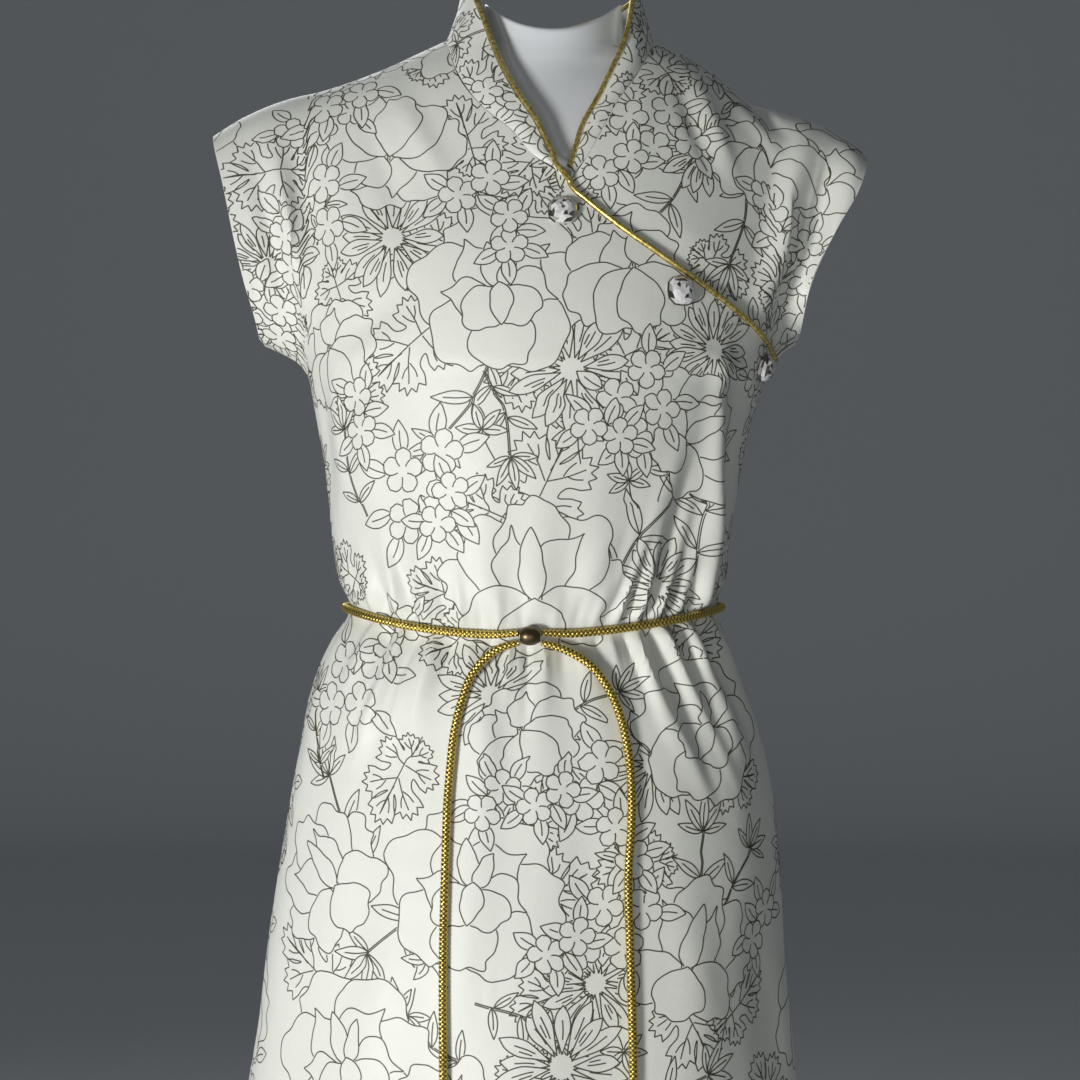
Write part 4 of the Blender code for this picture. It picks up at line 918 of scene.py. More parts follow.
collar_up = np.linalg.norm(np.diff(band, axis=0), axis=-1).cumsum(axis=0)
collar_up = np.concatenate([np.zeros((1, COLLAR_POINTS + 1)), collar_up], axis=0)
collar_flat = np.stack([collar_across, collar_up], axis=-1) + COLLAR_SHIFT
collar = wall("collar_band", band, ivory_cloth, collar_flat)
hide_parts("collar")


# Pipings: a thin cord wrapped in gold lame, caught in the collar's upper seam and along the overlap.
PIPING_RADIUS = 0.0017
PIPING_SIDES = 16
CREST_POINTS = 420
EDGE_ROWS = 36
EDGE_POINTS = 260
EDGE_START = (0.0004, -0.0004, -0.0008)


def tube(name, path, radius, sides, outward):
    """A round tube along a path with closed ends: at each point a circle across the path's direction,
    turned so that its first point faces outward."""
    path = np.asarray(path, float)
    ahead = np.gradient(path, axis=0)
    ahead /= np.linalg.norm(ahead, axis=1, keepdims=True)
    out = outward - (outward * ahead).sum(axis=1, keepdims=True) * ahead
    out /= np.linalg.norm(out, axis=1, keepdims=True)
    beside = np.cross(ahead, out)
    angle = np.arange(sides) / sides * 2 * math.pi
    reach = np.broadcast_to(radius, (len(path), sides))[..., None]
    ring = out[:, None] * np.cos(angle)[None, :, None] + beside[:, None] * np.sin(angle)[None, :, None]
    round_once = np.linspace(0, 1, sides + 1)
    flat_map = np.stack(np.broadcast_arrays(lengths(path)[:, None], round_once[None, :]), axis=-1)
    return surface(name, path[:, None] + reach * ring, wrap=True, caps=True, flat_map=flat_map)


gold_lame = paint("gold_lame", (0.80, 0.58, 0.14), 0.33, 0.85)
lame_weave = noise(gold_lame, placed_on(gold_lame, (900.0, 14.0, 1.0)), 1.0, 2.0)
# small random patches of the colour, from dark olive to bright gold: painted glints and shade of the crinkled
# lame
lame_glints_and_shade = noise(gold_lame, placed_on(gold_lame, (420.0, 3.0, 1.0)), 1.0, 3.0)
fed(
    gold_lame,
    Base_Color=ramp(gold_lame, lame_glints_and_shade, (0.36, (0.46, 0.33, 0.07)), (0.60, (1.0, 0.80, 0.28))),
    Normal=bumped(gold_lame, lame_weave, 0.35, 0.0005),
)

crest_line = crest + (PIPING_RADIUS + 2 * SEAM) * stand_unit
crest_line = along(crest_line, CREST_POINTS)
crest_out = crest_line - np.array([NECK_CENTRE, 0, 0])
crest_out[:, 2] = 0
collar_piping = tube("collar_gold_edge", crest_line, PIPING_RADIUS, PIPING_SIDES, crest_out)

edge_plane = along(OVERLAP_EDGE, EDGE_ROWS)
edge_place, edge_normal = panel_surface(edge_plane[:, 0], edge_plane[:, 1])
beyond = np.cross(edge_normal, np.gradient(edge_place, axis=0))
beyond /= np.linalg.norm(beyond, axis=1, keepdims=True)
beyond *= np.sign(beyond[:, 2:3])
edge_line = edge_place + beyond * (PIPING_RADIUS + SEAM) + edge_normal * SEAM
edge_line[0] = crest_line[0] + EDGE_START
edge_run = lengths(edge_line)
edge_at = np.linspace(0, edge_run[-1], EDGE_POINTS)
edge_line, edge_out = (
    np.stack([curve(edge_run, column, edge_at) for column in part.T], axis=-1)
    for part in (edge_line, edge_normal)
)
flap_piping = tube("overlap_gold_edge", edge_line, PIPING_RADIUS, PIPING_SIDES, edge_out)
for piece, replaced in ((collar_piping, "collar_piping"), (flap_piping, "flap_piping")):
    piece.data.materials.append(gold_lame)
    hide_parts(replaced)


# Buttons: three clear cut crystals, square with round corners, a table over four tiers of facets. Each
# facet's colour is a painted reflection of another part of the light, some white and some dark.
BUTTON_SIZE = 0.0195
BUTTON_HEIGHT = 0.0075
BUTTON_CLEAR = 0.0004
BUTTON_SIDES = 12
BUTTONS = (
    # x, height
    (0.0145, 1.2765), (0.0897, 1.226), (0.1495, 1.182),
)
BUTTON_RINGS = (
    # share of the size, share of the height, turn of the facets as a share of one side, painted reflection
    (0.84, 0.0, 0.0, 0.1), (1.0, 0.25, 0.0, 0.05), (0.93, 0.42, 0.0, 0.1), (0.78, 0.68, 0.5, 0.7),
    (0.58, 0.88, 0.0, 0.42), (0.34, 1.0, 0.5, 0.62), (0.12, 0.98, 0.0, 0.7),
)
REFLECTION_SPREAD = (-0.45, -0.12, 0.0, 0.30)
cut_crystal = paint(
    "cut_crystal", (0.97, 0.98, 1.0), 0.04,
    **{"Transmission Weight": 0.15, "IOR": 1.62, "Coat Weight": 1.0, "Coat Roughness": 0.02},
)
# each facet's base colour is its painted reflection, from near black through grey to white
painted_reflection = node(cut_crystal, "ShaderNodeAttribute", attribute_name="painted_reflection").outputs["Fac"]
reflection_stops = ((0.06, (0.040, 0.036, 0.026)), (0.28, (0.40, 0.38, 0.33)), (0.50, (1, 1, 1)))
fed(cut_crystal, Base_Color=ramp(cut_crystal, painted_reflection, *reflection_stops))
for number, (x, z) in enumerate(BUTTONS, start=1):
    place, normal = (value[0] for value in panel_surface(np.array([x]), np.array([z])))
    upward = np.array([0, 0, 1]) - normal[2] * normal
    upward /= np.linalg.norm(upward)
    sideways = np.cross(upward, normal)
    share, high, twist, ring_reflection = np.array(BUTTON_RINGS).T[:, :, None]
    angle = (np.arange(BUTTON_SIDES) + twist) / BUTTON_SIDES * 2 * math.pi
    corner = (np.abs(np.cos(angle)) ** 3 + np.abs(np.sin(angle)) ** 3) ** (1 / 3)
    reach = (0.5 * BUTTON_SIZE * share / corner)[..., None]
    rings = place + normal * (BUTTON_CLEAR + high * BUTTON_HEIGHT)[..., None]
    rings = rings + reach * (np.cos(angle)[..., None] * sideways + np.sin(angle)[..., None] * upward)
    button = surface(f"crystal_{number}", rings, wrap=True, caps=True)
    button.data.set_sharp_from_angle(angle=math.radians(2))
    middles = np.array([face.center for face in button.data.polygons]) - place
    height = np.clip(middles @ normal - BUTTON_CLEAR, 0, BUTTON_HEIGHT) / BUTTON_HEIGHT
    facet_reflection = np.interp(height, high[:-1, 0], ring_reflection[:-1, 0])
    spread = np.random.default_rng(number).choice(REFLECTION_SPREAD, len(facet_reflection))
    facet_reflection = np.clip(facet_reflection + spread, 0, 1).astype(np.float32)
    button.data.attributes.new("painted_reflection", "FLOAT", "FACE").data.foreach_set("value", facet_reflection)
    button.data.materials.append(cut_crystal)
    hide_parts(f"button_{number}")


# Print: flowers and leaves in one thin grey-olive line on the ivory cloth, the way a screen or a roller
# prints them. The ink is a film of its own over the cloth, so that its lines stay sharp. Each motif is
# drawn from the rear to the front, and what lies in front hides the lines behind it.
LINE_WIDTH = 0.00082
LINE_STEP = 0.0012
INK_LIFT = 0.00014
REPEAT = np.array([0.50, 0.74])
LINE_BREAK = 2.2
REACH = 0.06
NODE_STEP = 8
SLOPE_STEPS = 10
SLOPE_REACH = 4
INK_MARGIN = 0.05
INK_MISS = 0.0004
RUFFLE_TURN = 1.7
RUFFLES = (
    # height and length as shares of the flower, shift
    (0.009, 0.34, 1), (0.003, 0.14, 2),
)
FAN_PETAL = (
    ((0, 0), (-0.24, 0.14), (-0.47, 0.40), (-0.50, 0.64), (-0.38, 0.78), (-0.33, 0.91), (-0.12, 0.90),
     (0.04, 1.00), (0.26, 0.95), (0.36, 0.82), (0.50, 0.68), (0.47, 0.42), (0.24, 0.14), (0, 0)),
)
ROUND_PETAL = (
    ((0, 0), (-0.26, 0.10), (-0.46, 0.34), (-0.50, 0.60), (-0.40, 0.80), (-0.22, 0.86), (-0.08, 0.97),
     (0.12, 1.00), (0.30, 0.90), (0.36, 0.80), (0.48, 0.66), (0.50, 0.42), (0.34, 0.14), (0, 0)),
)
CUP_PETAL = (
    ((0, 0), (-0.34, 0.14), (-0.50, 0.44), (-0.40, 0.70), (-0.14, 0.80), (0.10, 0.84), (0.36, 1.00)),
    ((0.36, 1.00), (0.36, 0.74), (0.50, 0.50), (0.32, 0.16), (0, 0)),
)
LEAF = (
    ((0, 0), (-0.38, 0.20), (-0.50, 0.48), (-0.30, 0.78), (0.06, 1.00)),
    ((0.06, 1.00), (0.30, 0.78), (0.50, 0.50), (0.40, 0.22), (0, 0)),
)
DART_PETAL = (
    ((0, 0), (-0.24, 0.24), (-0.50, 0.60), (-0.34, 0.84), (0.04, 1.00)),
    ((0.04, 1.00), (0.36, 0.82), (0.50, 0.56), (0.22, 0.22), (0, 0)),
)
OPEN_PEONY = (
    # seen from the front: outline, root x, root y, turn, length, width, as shares of the flower
    (FAN_PETAL, 0.0, 0.05, 22, 0.5, 0.52), (ROUND_PETAL, 0.03, 0.03, -38, 0.52, 0.5),
    (FAN_PETAL, 0.04, 0.0, -92, 0.54, 0.48), (ROUND_PETAL, -0.03, 0.02, 82, 0.54, 0.5),
    (FAN_PETAL, -0.02, -0.03, 140, 0.5, 0.48), (ROUND_PETAL, 0.03, -0.03, -146, 0.5, 0.48),
    (FAN_PETAL, 0.0, -0.05, 182, 0.42, 0.4), (CUP_PETAL, -0.02, 0.03, 48, 0.34, 0.3),
    (CUP_PETAL, 0.03, 0.03, -30, 0.36, 0.32), (CUP_PETAL, 0.04, 0.0, -84, 0.3, 0.26),
    (CUP_PETAL, -0.04, 0.0, 104, 0.3, 0.26), (LEAF, 0.0, 0.02, 14, 0.3, 0.14),
    (LEAF, 0.01, 0.02, -22, 0.26, 0.11), (ROUND_PETAL, 0.05, 0.03, -150, 0.26, 0.26),
    (ROUND_PETAL, -0.04, 0.03, 156, 0.28, 0.28), (LEAF, 0.0, 0.06, -176, 0.26, 0.15),
)
SIDE_PEONY = (
    # seen from the side, its petals spreading from a low heart
    (FAN_PETAL, -0.02, -0.14, 78, 0.56, 0.36), (FAN_PETAL, 0.02, -0.14, -80, 0.56, 0.36),
    (ROUND_PETAL, -0.02, -0.16, 40, 0.58, 0.4), (ROUND_PETAL, 0.02, -0.16, -38, 0.6, 0.42),
    (FAN_PETAL, 0.0, -0.16, 2, 0.6, 0.42), (CUP_PETAL, -0.01, -0.18, 26, 0.46, 0.24),
    (CUP_PETAL, 0.01, -0.18, -24, 0.48, 0.26), (LEAF, 0.0, -0.18, 4, 0.44, 0.16),
    (ROUND_PETAL, 0.04, -0.14, -122, 0.44, 0.34), (ROUND_PETAL, -0.04, -0.14, 124, 0.44, 0.34),
    (FAN_PETAL, 0.0, -0.15, 180, 0.34, 0.38),
)
TURNED_PEONY = (
    # turned away, three large petals over a cup
    (FAN_PETAL, 0.0, 0.08, 0, 0.42, 0.52), (ROUND_PETAL, -0.02, 0.04, 58, 0.5, 0.46),
    (ROUND_PETAL, 0.02, 0.04, -62, 0.5, 0.46), (CUP_PETAL, -0.04, 0.1, 26, 0.28, 0.28),
    (CUP_PETAL, 0.05, 0.1, -22, 0.3, 0.28), (FAN_PETAL, -0.04, 0.08, 112, 0.52, 0.44),
    (FAN_PETAL, 0.04, 0.08, -114, 0.52, 0.44), (ROUND_PETAL, -0.03, 0.1, 150, 0.5, 0.38),
    (ROUND_PETAL, 0.04, 0.1, -152, 0.5, 0.4), (FAN_PETAL, 0.0, 0.1, 178, 0.48, 0.34),
)
LOBES = (
    # root, turn, length, width, as shares of the leaf
    (-0.26, 142, 0.25, 0.22), (-0.16, 98, 0.4, 0.29), (-0.01, 50, 0.45, 0.31), (0.08, 0, 0.45, 0.32),
    (-0.01, -50, 0.45, 0.31), (-0.16, -98, 0.4, 0.29), (-0.26, -142, 0.25, 0.22),
)
LOBE_TEETH = (
    (-0.50, 0.62), (-0.56, 0.80), (-0.32, 0.76), (-0.28, 0.94), (-0.10, 0.86), (0.02, 1.02),
    (0.12, 0.85), (0.30, 0.93), (0.32, 0.76), (0.54, 0.78), (0.50, 0.60),
)
LOBE_VEINS = (
    ((0, 0.02), (0.04, 0.4), (0, 0.78)),
    ((0.02, 0.40), (0.16, 0.52), (0.24, 0.68)),
    ((0.00, 0.34), (-0.16, 0.48), (-0.26, 0.64)),
)
CLUSTER = (
    # blossoms: x, y, as shares of the cluster
    (-0.25, 0.08), (0.08, 0.24), (0.10, -0.14), (-0.22, -0.28),
)
CLUSTER_LEAVES = (
    # x, y, turn
    (-0.34, 0.20, 40), (0.14, 0.34, -20), (0.22, 0.18, -70), (0.24, -0.12, -110), (0.10, -0.26, 190),
    (-0.34, -0.30, 112), (-0.06, 0.04, 20), (-0.18, -0.38, 175),
)
PAIR = (
    (-0.16, -0.06), (0.20, 0.16),
)
PAIR_LEAVES = (
    (-0.26, 0.02, 60), (0.24, 0.28, 0), (0.30, 0.06, -80), (-0.10, -0.18, 190), (-0.30, -0.10, 130),
    (0.06, -0.02, -150),
)
SPRAY_LEAVES = (
    # place along the stem, turn from it, length
    (0.20, 60, 0.26), (0.18, -56, 0.28), (0.55, 58, 0.30), (0.50, -54, 0.32), (0.97, -78, 0.24),
    (0.98, 78, 0.25), (0.98, 38, 0.31), (0.97, -36, 0.30), (0.99, 0, 0.30),
)
DAISY_LENGTH = 0.40
DAISY_UNEVEN = 0.04
DAISY_ROOT = 0.09
DAISY_WIDTH = 0.125
DAISY_HEART = 0.088
DAISY_VEINS = (
    ((0.02, 0.30), (0.04, 0.46), (0.00, 0.70)),
    ((-0.16, 0.34), (-0.20, 0.48), (-0.22, 0.58)),
)
NOTCH_DEPTH = 0.34
NOTCH_POWER = 3.2
TIP_HEIGHT = 0.05
TIP_WIDTH = 0.07
STEM_GAP = 0.0011
SPRIG_TURNS = (112, -112, 66, -62, 0)
NOTCH_LINE = ((0.33, 0), (0.23, 0.06), (0.13, 0))


def line(points):
    """A smooth line through points of the flat cloth, sampled a step apart."""
    points = np.array(points, float)
    run = lengths(points)
    at = np.linspace(0, run[-1], max(4, int(run[-1] / LINE_STEP) + 2))
    return np.stack([curve(run, points[:, k], at) for k in range(2)], axis=-1)


def placed(points, x, y, turn, length, width):
    """Points of a unit shape, which grows upwards from nil, at a place, turned anticlockwise."""
    points = np.array(points, float) * (width, length)
    angle = math.radians(turn)
    along_x = points[:, 0] * math.cos(angle) - points[:, 1] * math.sin(angle)
    along_y = points[:, 0] * math.sin(angle) + points[:, 1] * math.cos(angle)
    return np.stack([x + along_x, y + along_y], axis=-1)


def shape(outline, x, y, turn, length, width, inner=()):
    """A closed outline that hides what is behind it, with lines inside it: the outline and its lines."""
    edges = [line(placed(part, x, y, turn, length, width)) for part in outline]
    inside = [line(placed(part, x, y, turn, length, width)) for part in inner]
    return np.concatenate(edges), edges + inside


def ruffled(edge, size, start):
    """A line with a ruffled edge: two sines of its length push it to its sides, least at its ends."""
    ahead = np.gradient(edge, axis=0)
    side = np.stack([-ahead[:, 1], ahead[:, 0]], axis=-1) / np.linalg.norm(ahead, axis=1, keepdims=True)
    run = np.linalg.norm(ahead, axis=1).cumsum() / size
    wave = sum(high * np.sin(2 * math.pi * run / long + shift * start) for high, long, shift in RUFFLES)
    swell = np.sin(math.pi * np.linspace(0, 1, len(edge))) ** 0.5
    return edge + side * (size * wave * swell)[:, None]


def peony(petals, size):
    """A flower of broad ruffled petals behind, pointed ones before them and small ones at the heart."""
    shapes = []
    for k, (outline, x, y, turn, length, width) in enumerate(petals):
        edges = shape(outline, size * x, size * y, turn, size * length, size * width)[1]
        edges = [ruffled(edge, size, RUFFLE_TURN * k + j) for j, edge in enumerate(edges)]
        shapes.append((np.concatenate(edges), edges))
    return shapes


open_peony = partial(peony, OPEN_PEONY)
side_peony = partial(peony, SIDE_PEONY)
turned_peony = partial(peony, TURNED_PEONY)


def daisy(size, petals=17):
    """Two rounds of pointed petals, each with a line or two inside, about a small blank centre."""
    shapes = []
    for k in sorted(range(petals), key=lambda k: k % 2):
        turn = 360 * k / petals + 5 * math.sin(2.3 * k)
        length = size * (DAISY_LENGTH - DAISY_UNEVEN * math.cos(2.9 * k))
        root = DAISY_ROOT * size
        x, y = -root * math.sin(math.radians(turn)), root * math.cos(math.radians(turn))
        veins = DAISY_VEINS[: 1 + k % 2]
        shapes.append(shape(DART_PETAL, x, y, turn, length, size * DAISY_WIDTH, veins))
    ring = np.linspace(0, 2 * math.pi, 24)
    shapes.append((DAISY_HEART * size * np.stack([np.cos(ring), np.sin(ring)], axis=-1), []))
    return shapes


def lobed_leaf(size):
    """Toothed lobes on both sides of a vein and one at its end, parted by narrow round inlets."""
    def lobe(row, points):
        return placed(points, 0, size * row[0], row[1], size * row[2], size * row[3])

    base = np.array([[0.0, -0.34 * size]])
    edges, veins = [], [line([(0, -0.52 * size), (0.01 * size, -0.1 * size), (0, 0.40 * size)])]
    start = base
    for row, after in zip(LOBES, LOBES[1:] + (None,)):
        edges.append(line(np.concatenate([start, lobe(row, ((-0.34, 0.34), (-0.50, 0.62)))])))
        teeth = lobe(row, LOBE_TEETH)
        edges += [line([a, b]) for a, b in zip(teeth, teeth[1:])]
        leaving = lobe(row, ((0.50, 0.60), (0.34, 0.34)))
        if after is None:
            edges.append(line(np.concatenate([leaving, base])))
        else:
            inlet = (lobe(row, ((0.24, 0.34),)) + lobe(after, ((-0.24, 0.34),))) / 2
            edges.append(line(np.concatenate([leaving, inlet])))
            start = inlet
        veins += [line(lobe(row, vein)) for vein in LOBE_VEINS]
    return [(np.concatenate(edges), edges + veins)]


def veined_leaf(x, y, turn, length, width):
    """A pointed leaf with part of its midrib."""
    return shape(LEAF, x, y, turn, length, width, (((0, 0.02), (-0.04, 0.4), (0.02, 0.70)),))


def blossom(x, y, size, turn):
    """Five round petals with slight tips, a short line inwards from each notch, the middle blank."""
    angle = np.linspace(0, 2 * math.pi, int(1.35 * math.pi * size / LINE_STEP) + 2)
    part = (angle * 5 / (2 * math.pi)) % 1 - 0.5
    notch = NOTCH_DEPTH * np.abs(2 * part) ** NOTCH_POWER
    reach = size / 2 * (1 - notch + TIP_HEIGHT * np.exp(-((part / TIP_WIDTH) ** 2)))
    outline = np.stack([x + reach * np.cos(angle + turn), y + reach * np.sin(angle + turn)], axis=-1)
    lines = [outline]
    for k in range(5):
        way = turn + 2 * math.pi * k / 5
        ends = [
            (x + size * r * math.cos(way + b), y + size * r * math.sin(way + b)) for r, b in NOTCH_LINE
        ]
        lines.append(line(ends))
    return outline, lines


def bunch(size, leaves, blossoms, across):
    """Small blossoms, overlapping, with leaves sticking out from behind them."""
    shapes = [veined_leaf(size * x, size * y, turn, 0.8 * across, 0.4 * across) for x, y, turn in leaves]
    return shapes + [blossom(size * x, size * y, across, 7 * x + 3 * y) for x, y in blossoms]


def cluster(size):
    """Four blossoms with their leaves."""
    return bunch(size, CLUSTER_LEAVES, CLUSTER, 0.34 * size)


def pair(size):
    """Two blossoms with their leaves."""
    return bunch(size, PAIR_LEAVES, PAIR, 0.46 * size)


def spray(size):
    """A thin double stem with lance leaves in pairs."""
    stem = line([(0.02 * size, -0.5 * size), (-0.03 * size, -0.1 * size), (0.06 * size, 0.34 * size)])
    shapes = [(None, [stem, stem + (STEM_GAP, 0)])]
    for place, turn, length in SPRAY_LEAVES:
        x, y = stem[min(int(place * len(stem)), len(stem) - 1)]
        shapes.append(veined_leaf(x, y, turn - 8, length * size, 0.29 * length * size))
    return shapes


def sprig(size):
    """Five small leaves spread from the end of a short stem."""
    shapes = [(None, [line([(0.05 * size, -0.55 * size), (0, -0.25 * size), (0, 0)])])]
    return shapes + [veined_leaf(0, 0, turn, 0.46 * size, 0.17 * size) for turn in SPRIG_TURNS]


MOTIFS = (
    # kind, then its rows: x and height seen from the front, size, in millimetres, negative where it is
    # mirrored, and turn in degrees. Later kinds lie before earlier ones
    (lobed_leaf, (
        (-74, 1252, 64, 104), (-48, 1330, 62, 16), (-84, 1190, 72, 128), (36, 1208, 64, -130),
        (4, 1106, 78, -24), (-32, 1084, 58, 66), (34, 1262, 56, -40), (-62, 1030, 56, 68),
        (-92, 914, 62, 150), (4, 842, 68, -66), (-148, 784, 76, 60), (96, 757, 66, -150),
        (130, 762, 58, -60), (10, 776, 56, 112), (-184, 1312, 66, 94), (-130, 1224, 58, -160),
        (128, 908, 56, -90), (-14, 1178, 60, -176), (106, 1000, 58, -116), (62, 1188, 58, -64),
        (-150, 1176, 60, 84), (-150, 1112, 60, 28), (146, 1128, 60, -20), (-166, 962, 60, 120),
        (60, 1346, 66, -24), (96, 1374, 60, 36), (-64, 1388, 60, -70), (-10, 1290, 52, 110),
        (-54, 1000, 56, 124), (-10, 720, 56, 170), (150, 700, 60, 30), (64, 860, 56, 100),
        (0, 896, 54, -30), (-176, 868, 58, 70), (-128, 1044, 52, 60), (132, 1230, 52, -120),
        (-176, 1206, 60, 100), (168, 1222, 58, -20), (-6, 1310, 54, 140), (-120, 1170, 56, 10),
        (204, 1270, 58, 60), (-40, 1252, 56, 150),
    )),
    (spray, (
        (-46, 1150, 90, 152), (68, 1072, 104, -34), (108, 1094, 104, -14), (-128, 888, 88, 40),
        (-88, 824, 92, 142), (104, 852, 82, 4), (98, 1272, 84, 148), (128, 846, 74, -30),
        (-124, 1116, 74, 20), (-72, 748, 72, 60), (44, 884, 74, 24), (146, 1256, 80, 172),
        (-22, 1140, 70, -160), (158, 1316, 70, -156), (166, 990, 80, 10), (-8, 764, 70, -110),
        (30, 960, 70, -60), (-140, 1290, 60, -30), (-176, 1090, 70, 0), (84, 712, 80, -60),
        (-90, 700, 80, 120), (-150, 940, 70, 20), (28, 1330, 70, 150),
    )),
    (sprig, (
        (-38, 1136, 38, 20), (24, 1134, 40, 0), (84, 1108, 38, -30), (58, 1104, 34, 10),
        (-72, 800, 38, 30), (-84, 768, 34, 160), (118, 800, 38, -60), (-150, 1062, 38, 40),
        (-24, 886, 34, 90), (146, 1040, 36, -30), (-110, 1386, 34, 80), (52, 744, 34, 200),
    )),
    (daisy, (
        (-96, 1262, 80, 0), (20, 1174, 84, 10), (112, 1190, 72, 0), (124, 1312, 68, 20),
        (76, 1036, 68, 0), (-32, 966, 76, 5), (72, 922, 74, 0), (36, 786, 72, 10), (14, 736, 84, 0),
        (-170, 1024, 64, 0), (178, 862, 68, 15), (-182, 1250, 58, 0), (14, 1352, 60, 0),
    )),
    (open_peony, (
        (-26, 1224, 108, 2), (-44, 846, 106, -8), (-122, 729, 112, 14), (108, 940, -96, -16),
        (206, 1290, -90, 10),
    )),
    (side_peony, (
        (-4, 1044, 112, 0), (96, 806, -100, -18), (-142, 850, -92, 50), (104, 1136, 84, -64),
        (-62, 700, 90, 30),
    )),
    (turned_peony, (
        (-98, 1328, 98, 170), (62, 1232, 92, 14), (168, 1296, -86, 20), (-136, 1186, 78, 30),
        (172, 745, 96, 10), (-6, 938, 72, 40),
    )),
    (cluster, (
        (-148, 1284, 80, 0), (-82, 1098, 86, 180), (68, 1156, 76, 20), (94, 1330, 78, 100),
        (-120, 972, 86, -20), (40, 824, 76, 150), (136, 1046, 70, 60), (-178, 900, 70, 30),
        (200, 1180, 74, 0), (-150, 1356, 70, 120), (-130, 660, 80, 0), (-186, 1222, 66, 40),
        (188, 1236, 64, 10), (150, 1176, 64, 40),
    )),
    (pair, (
        (-44, 1292, 56, 0), (-18, 1262, 52, 60), (34, 908, 60, 30), (66, 1296, 52, 0), (132, 1368, 56, -30),
        (146, 812, 54, 200), (-30, 902, 50, 200), (-116, 1146, 54, 70), (36, 668, 60, 60), (56, 872, 54, 90),
        (-166, 1256, 50, 60), (44, 1136, 52, 130), (-60, 1084, 54, 30), (-94, 1004, 52, 200), (4, 900, 50, 0),
        (168, 1258, 52, 80), (12, 808, 52, 0),
    )),
)
FILLERS = (
    # where the repeats of the print meet at the sides and the back: kind, place on the flat cloth, size,
    # in millimetres, and turn in degrees
    (lobed_leaf, 238, 386, 62, 20), (spray, 262, 430, 84, 110), (open_peony, 248, 492, 88, 10),
    (cluster, 258, 560, 70, 40), (lobed_leaf, 236, 606, 60, 150), (daisy, 256, 648, 62, 0),
    (spray, 244, 706, 80, 60), (side_peony, 254, 770, 86, -20), (pair, 240, 826, 54, 60),
    (lobed_leaf, 262, 866, 60, -40), (turned_peony, 246, 926, 84, 200), (cluster, 256, 1000, 70, 0),
    (spray, 240, 1050, 80, 150), (pair, 258, 1092, 54, 10),
)


def flat_place(x, z):
    """Where the front's point seen at x and height lies on the flat cloth. Below the armpit it is that
    of the nearest point."""
    if z > ARMPIT:
        return flat_above(np.array([[x, z]]), "front")[0]
    away = (front_low[..., 0] - x) ** 2 + (front_low[..., 2] - z) ** 2
    return front_flat[: len(front_low)].reshape(-1, 2)[np.argmin(away)]


def inside(points, outline):
    """Which points lie inside a closed outline: a ray from each crosses it an odd number of times."""
    x, y = points[:, :1], points[:, 1:]
    x0, y0 = outline.T
    x1, y1 = np.roll(outline, -1, axis=0).T
    between = (y0 > y) != (y1 > y)
    rise = np.where(y1 == y0, 1, y1 - y0)
    return (between & (x < x0 + (y - y0) * (x1 - x0) / rise)).sum(axis=1) % 2 == 1


def laid_out(low, high):
    """All lines of the repeated print inside a rectangle of the cloth: their points, the number of the
    line that each belongs to, and whether nothing lies in front of it."""
    homes = [(kind, np.array([x, y]) / 1000, size, turn) for kind, x, y, size, turn in FILLERS]
    for kind, places in MOTIFS:
        homes += [(kind, flat_place(x / 1000, z / 1000), size, turn) for x, z, size, turn in places]
    motifs = []
    for kind, home, size, turn in homes:
        first = np.ceil((low - REACH - home) / REPEAT)
        last = np.floor((high + REACH - home) / REPEAT)
        for i in np.arange(first[0], last[0] + 1):
            for j in np.arange(first[1], last[1] + 1):
                motifs.append((kind, home + REPEAT * (i, j), size / 1000, turn))
    points, owners, masks = [], [], []
    for kind, (u, v), size, turn in motifs:
        flip = math.copysign(1, size)
        for outline, lines in kind(abs(size)):
            if outline is not None:
                masks.append((len(points), placed(outline, u, v, turn, 1, flip)))
            for each in lines:
                points.append(placed(each, u, v, turn, 1, flip))
                owners.append(len(points[-1]))
    starts = np.concatenate([[0], np.cumsum(owners)])
    owner = np.repeat(np.arange(len(owners)), owners)
    low_corners = np.array([each.min(axis=0) for each in points])
    high_corners = np.array([each.max(axis=0) for each in points])
    points = np.concatenate(points)
    seen = np.ones(len(points), bool)
    for before, outline in masks:
        apart = (low_corners[:before] > outline.max(axis=0)) | (high_corners[:before] < outline.min(axis=0))
        near = np.flatnonzero(~apart.any(axis=1))
        if len(near):
            behind = np.concatenate([np.arange(starts[k], starts[k + 1]) for k in near])
            behind = behind[seen[behind]]
            seen[behind[inside(points[behind], outline)]] = False
    return points, owner, seen


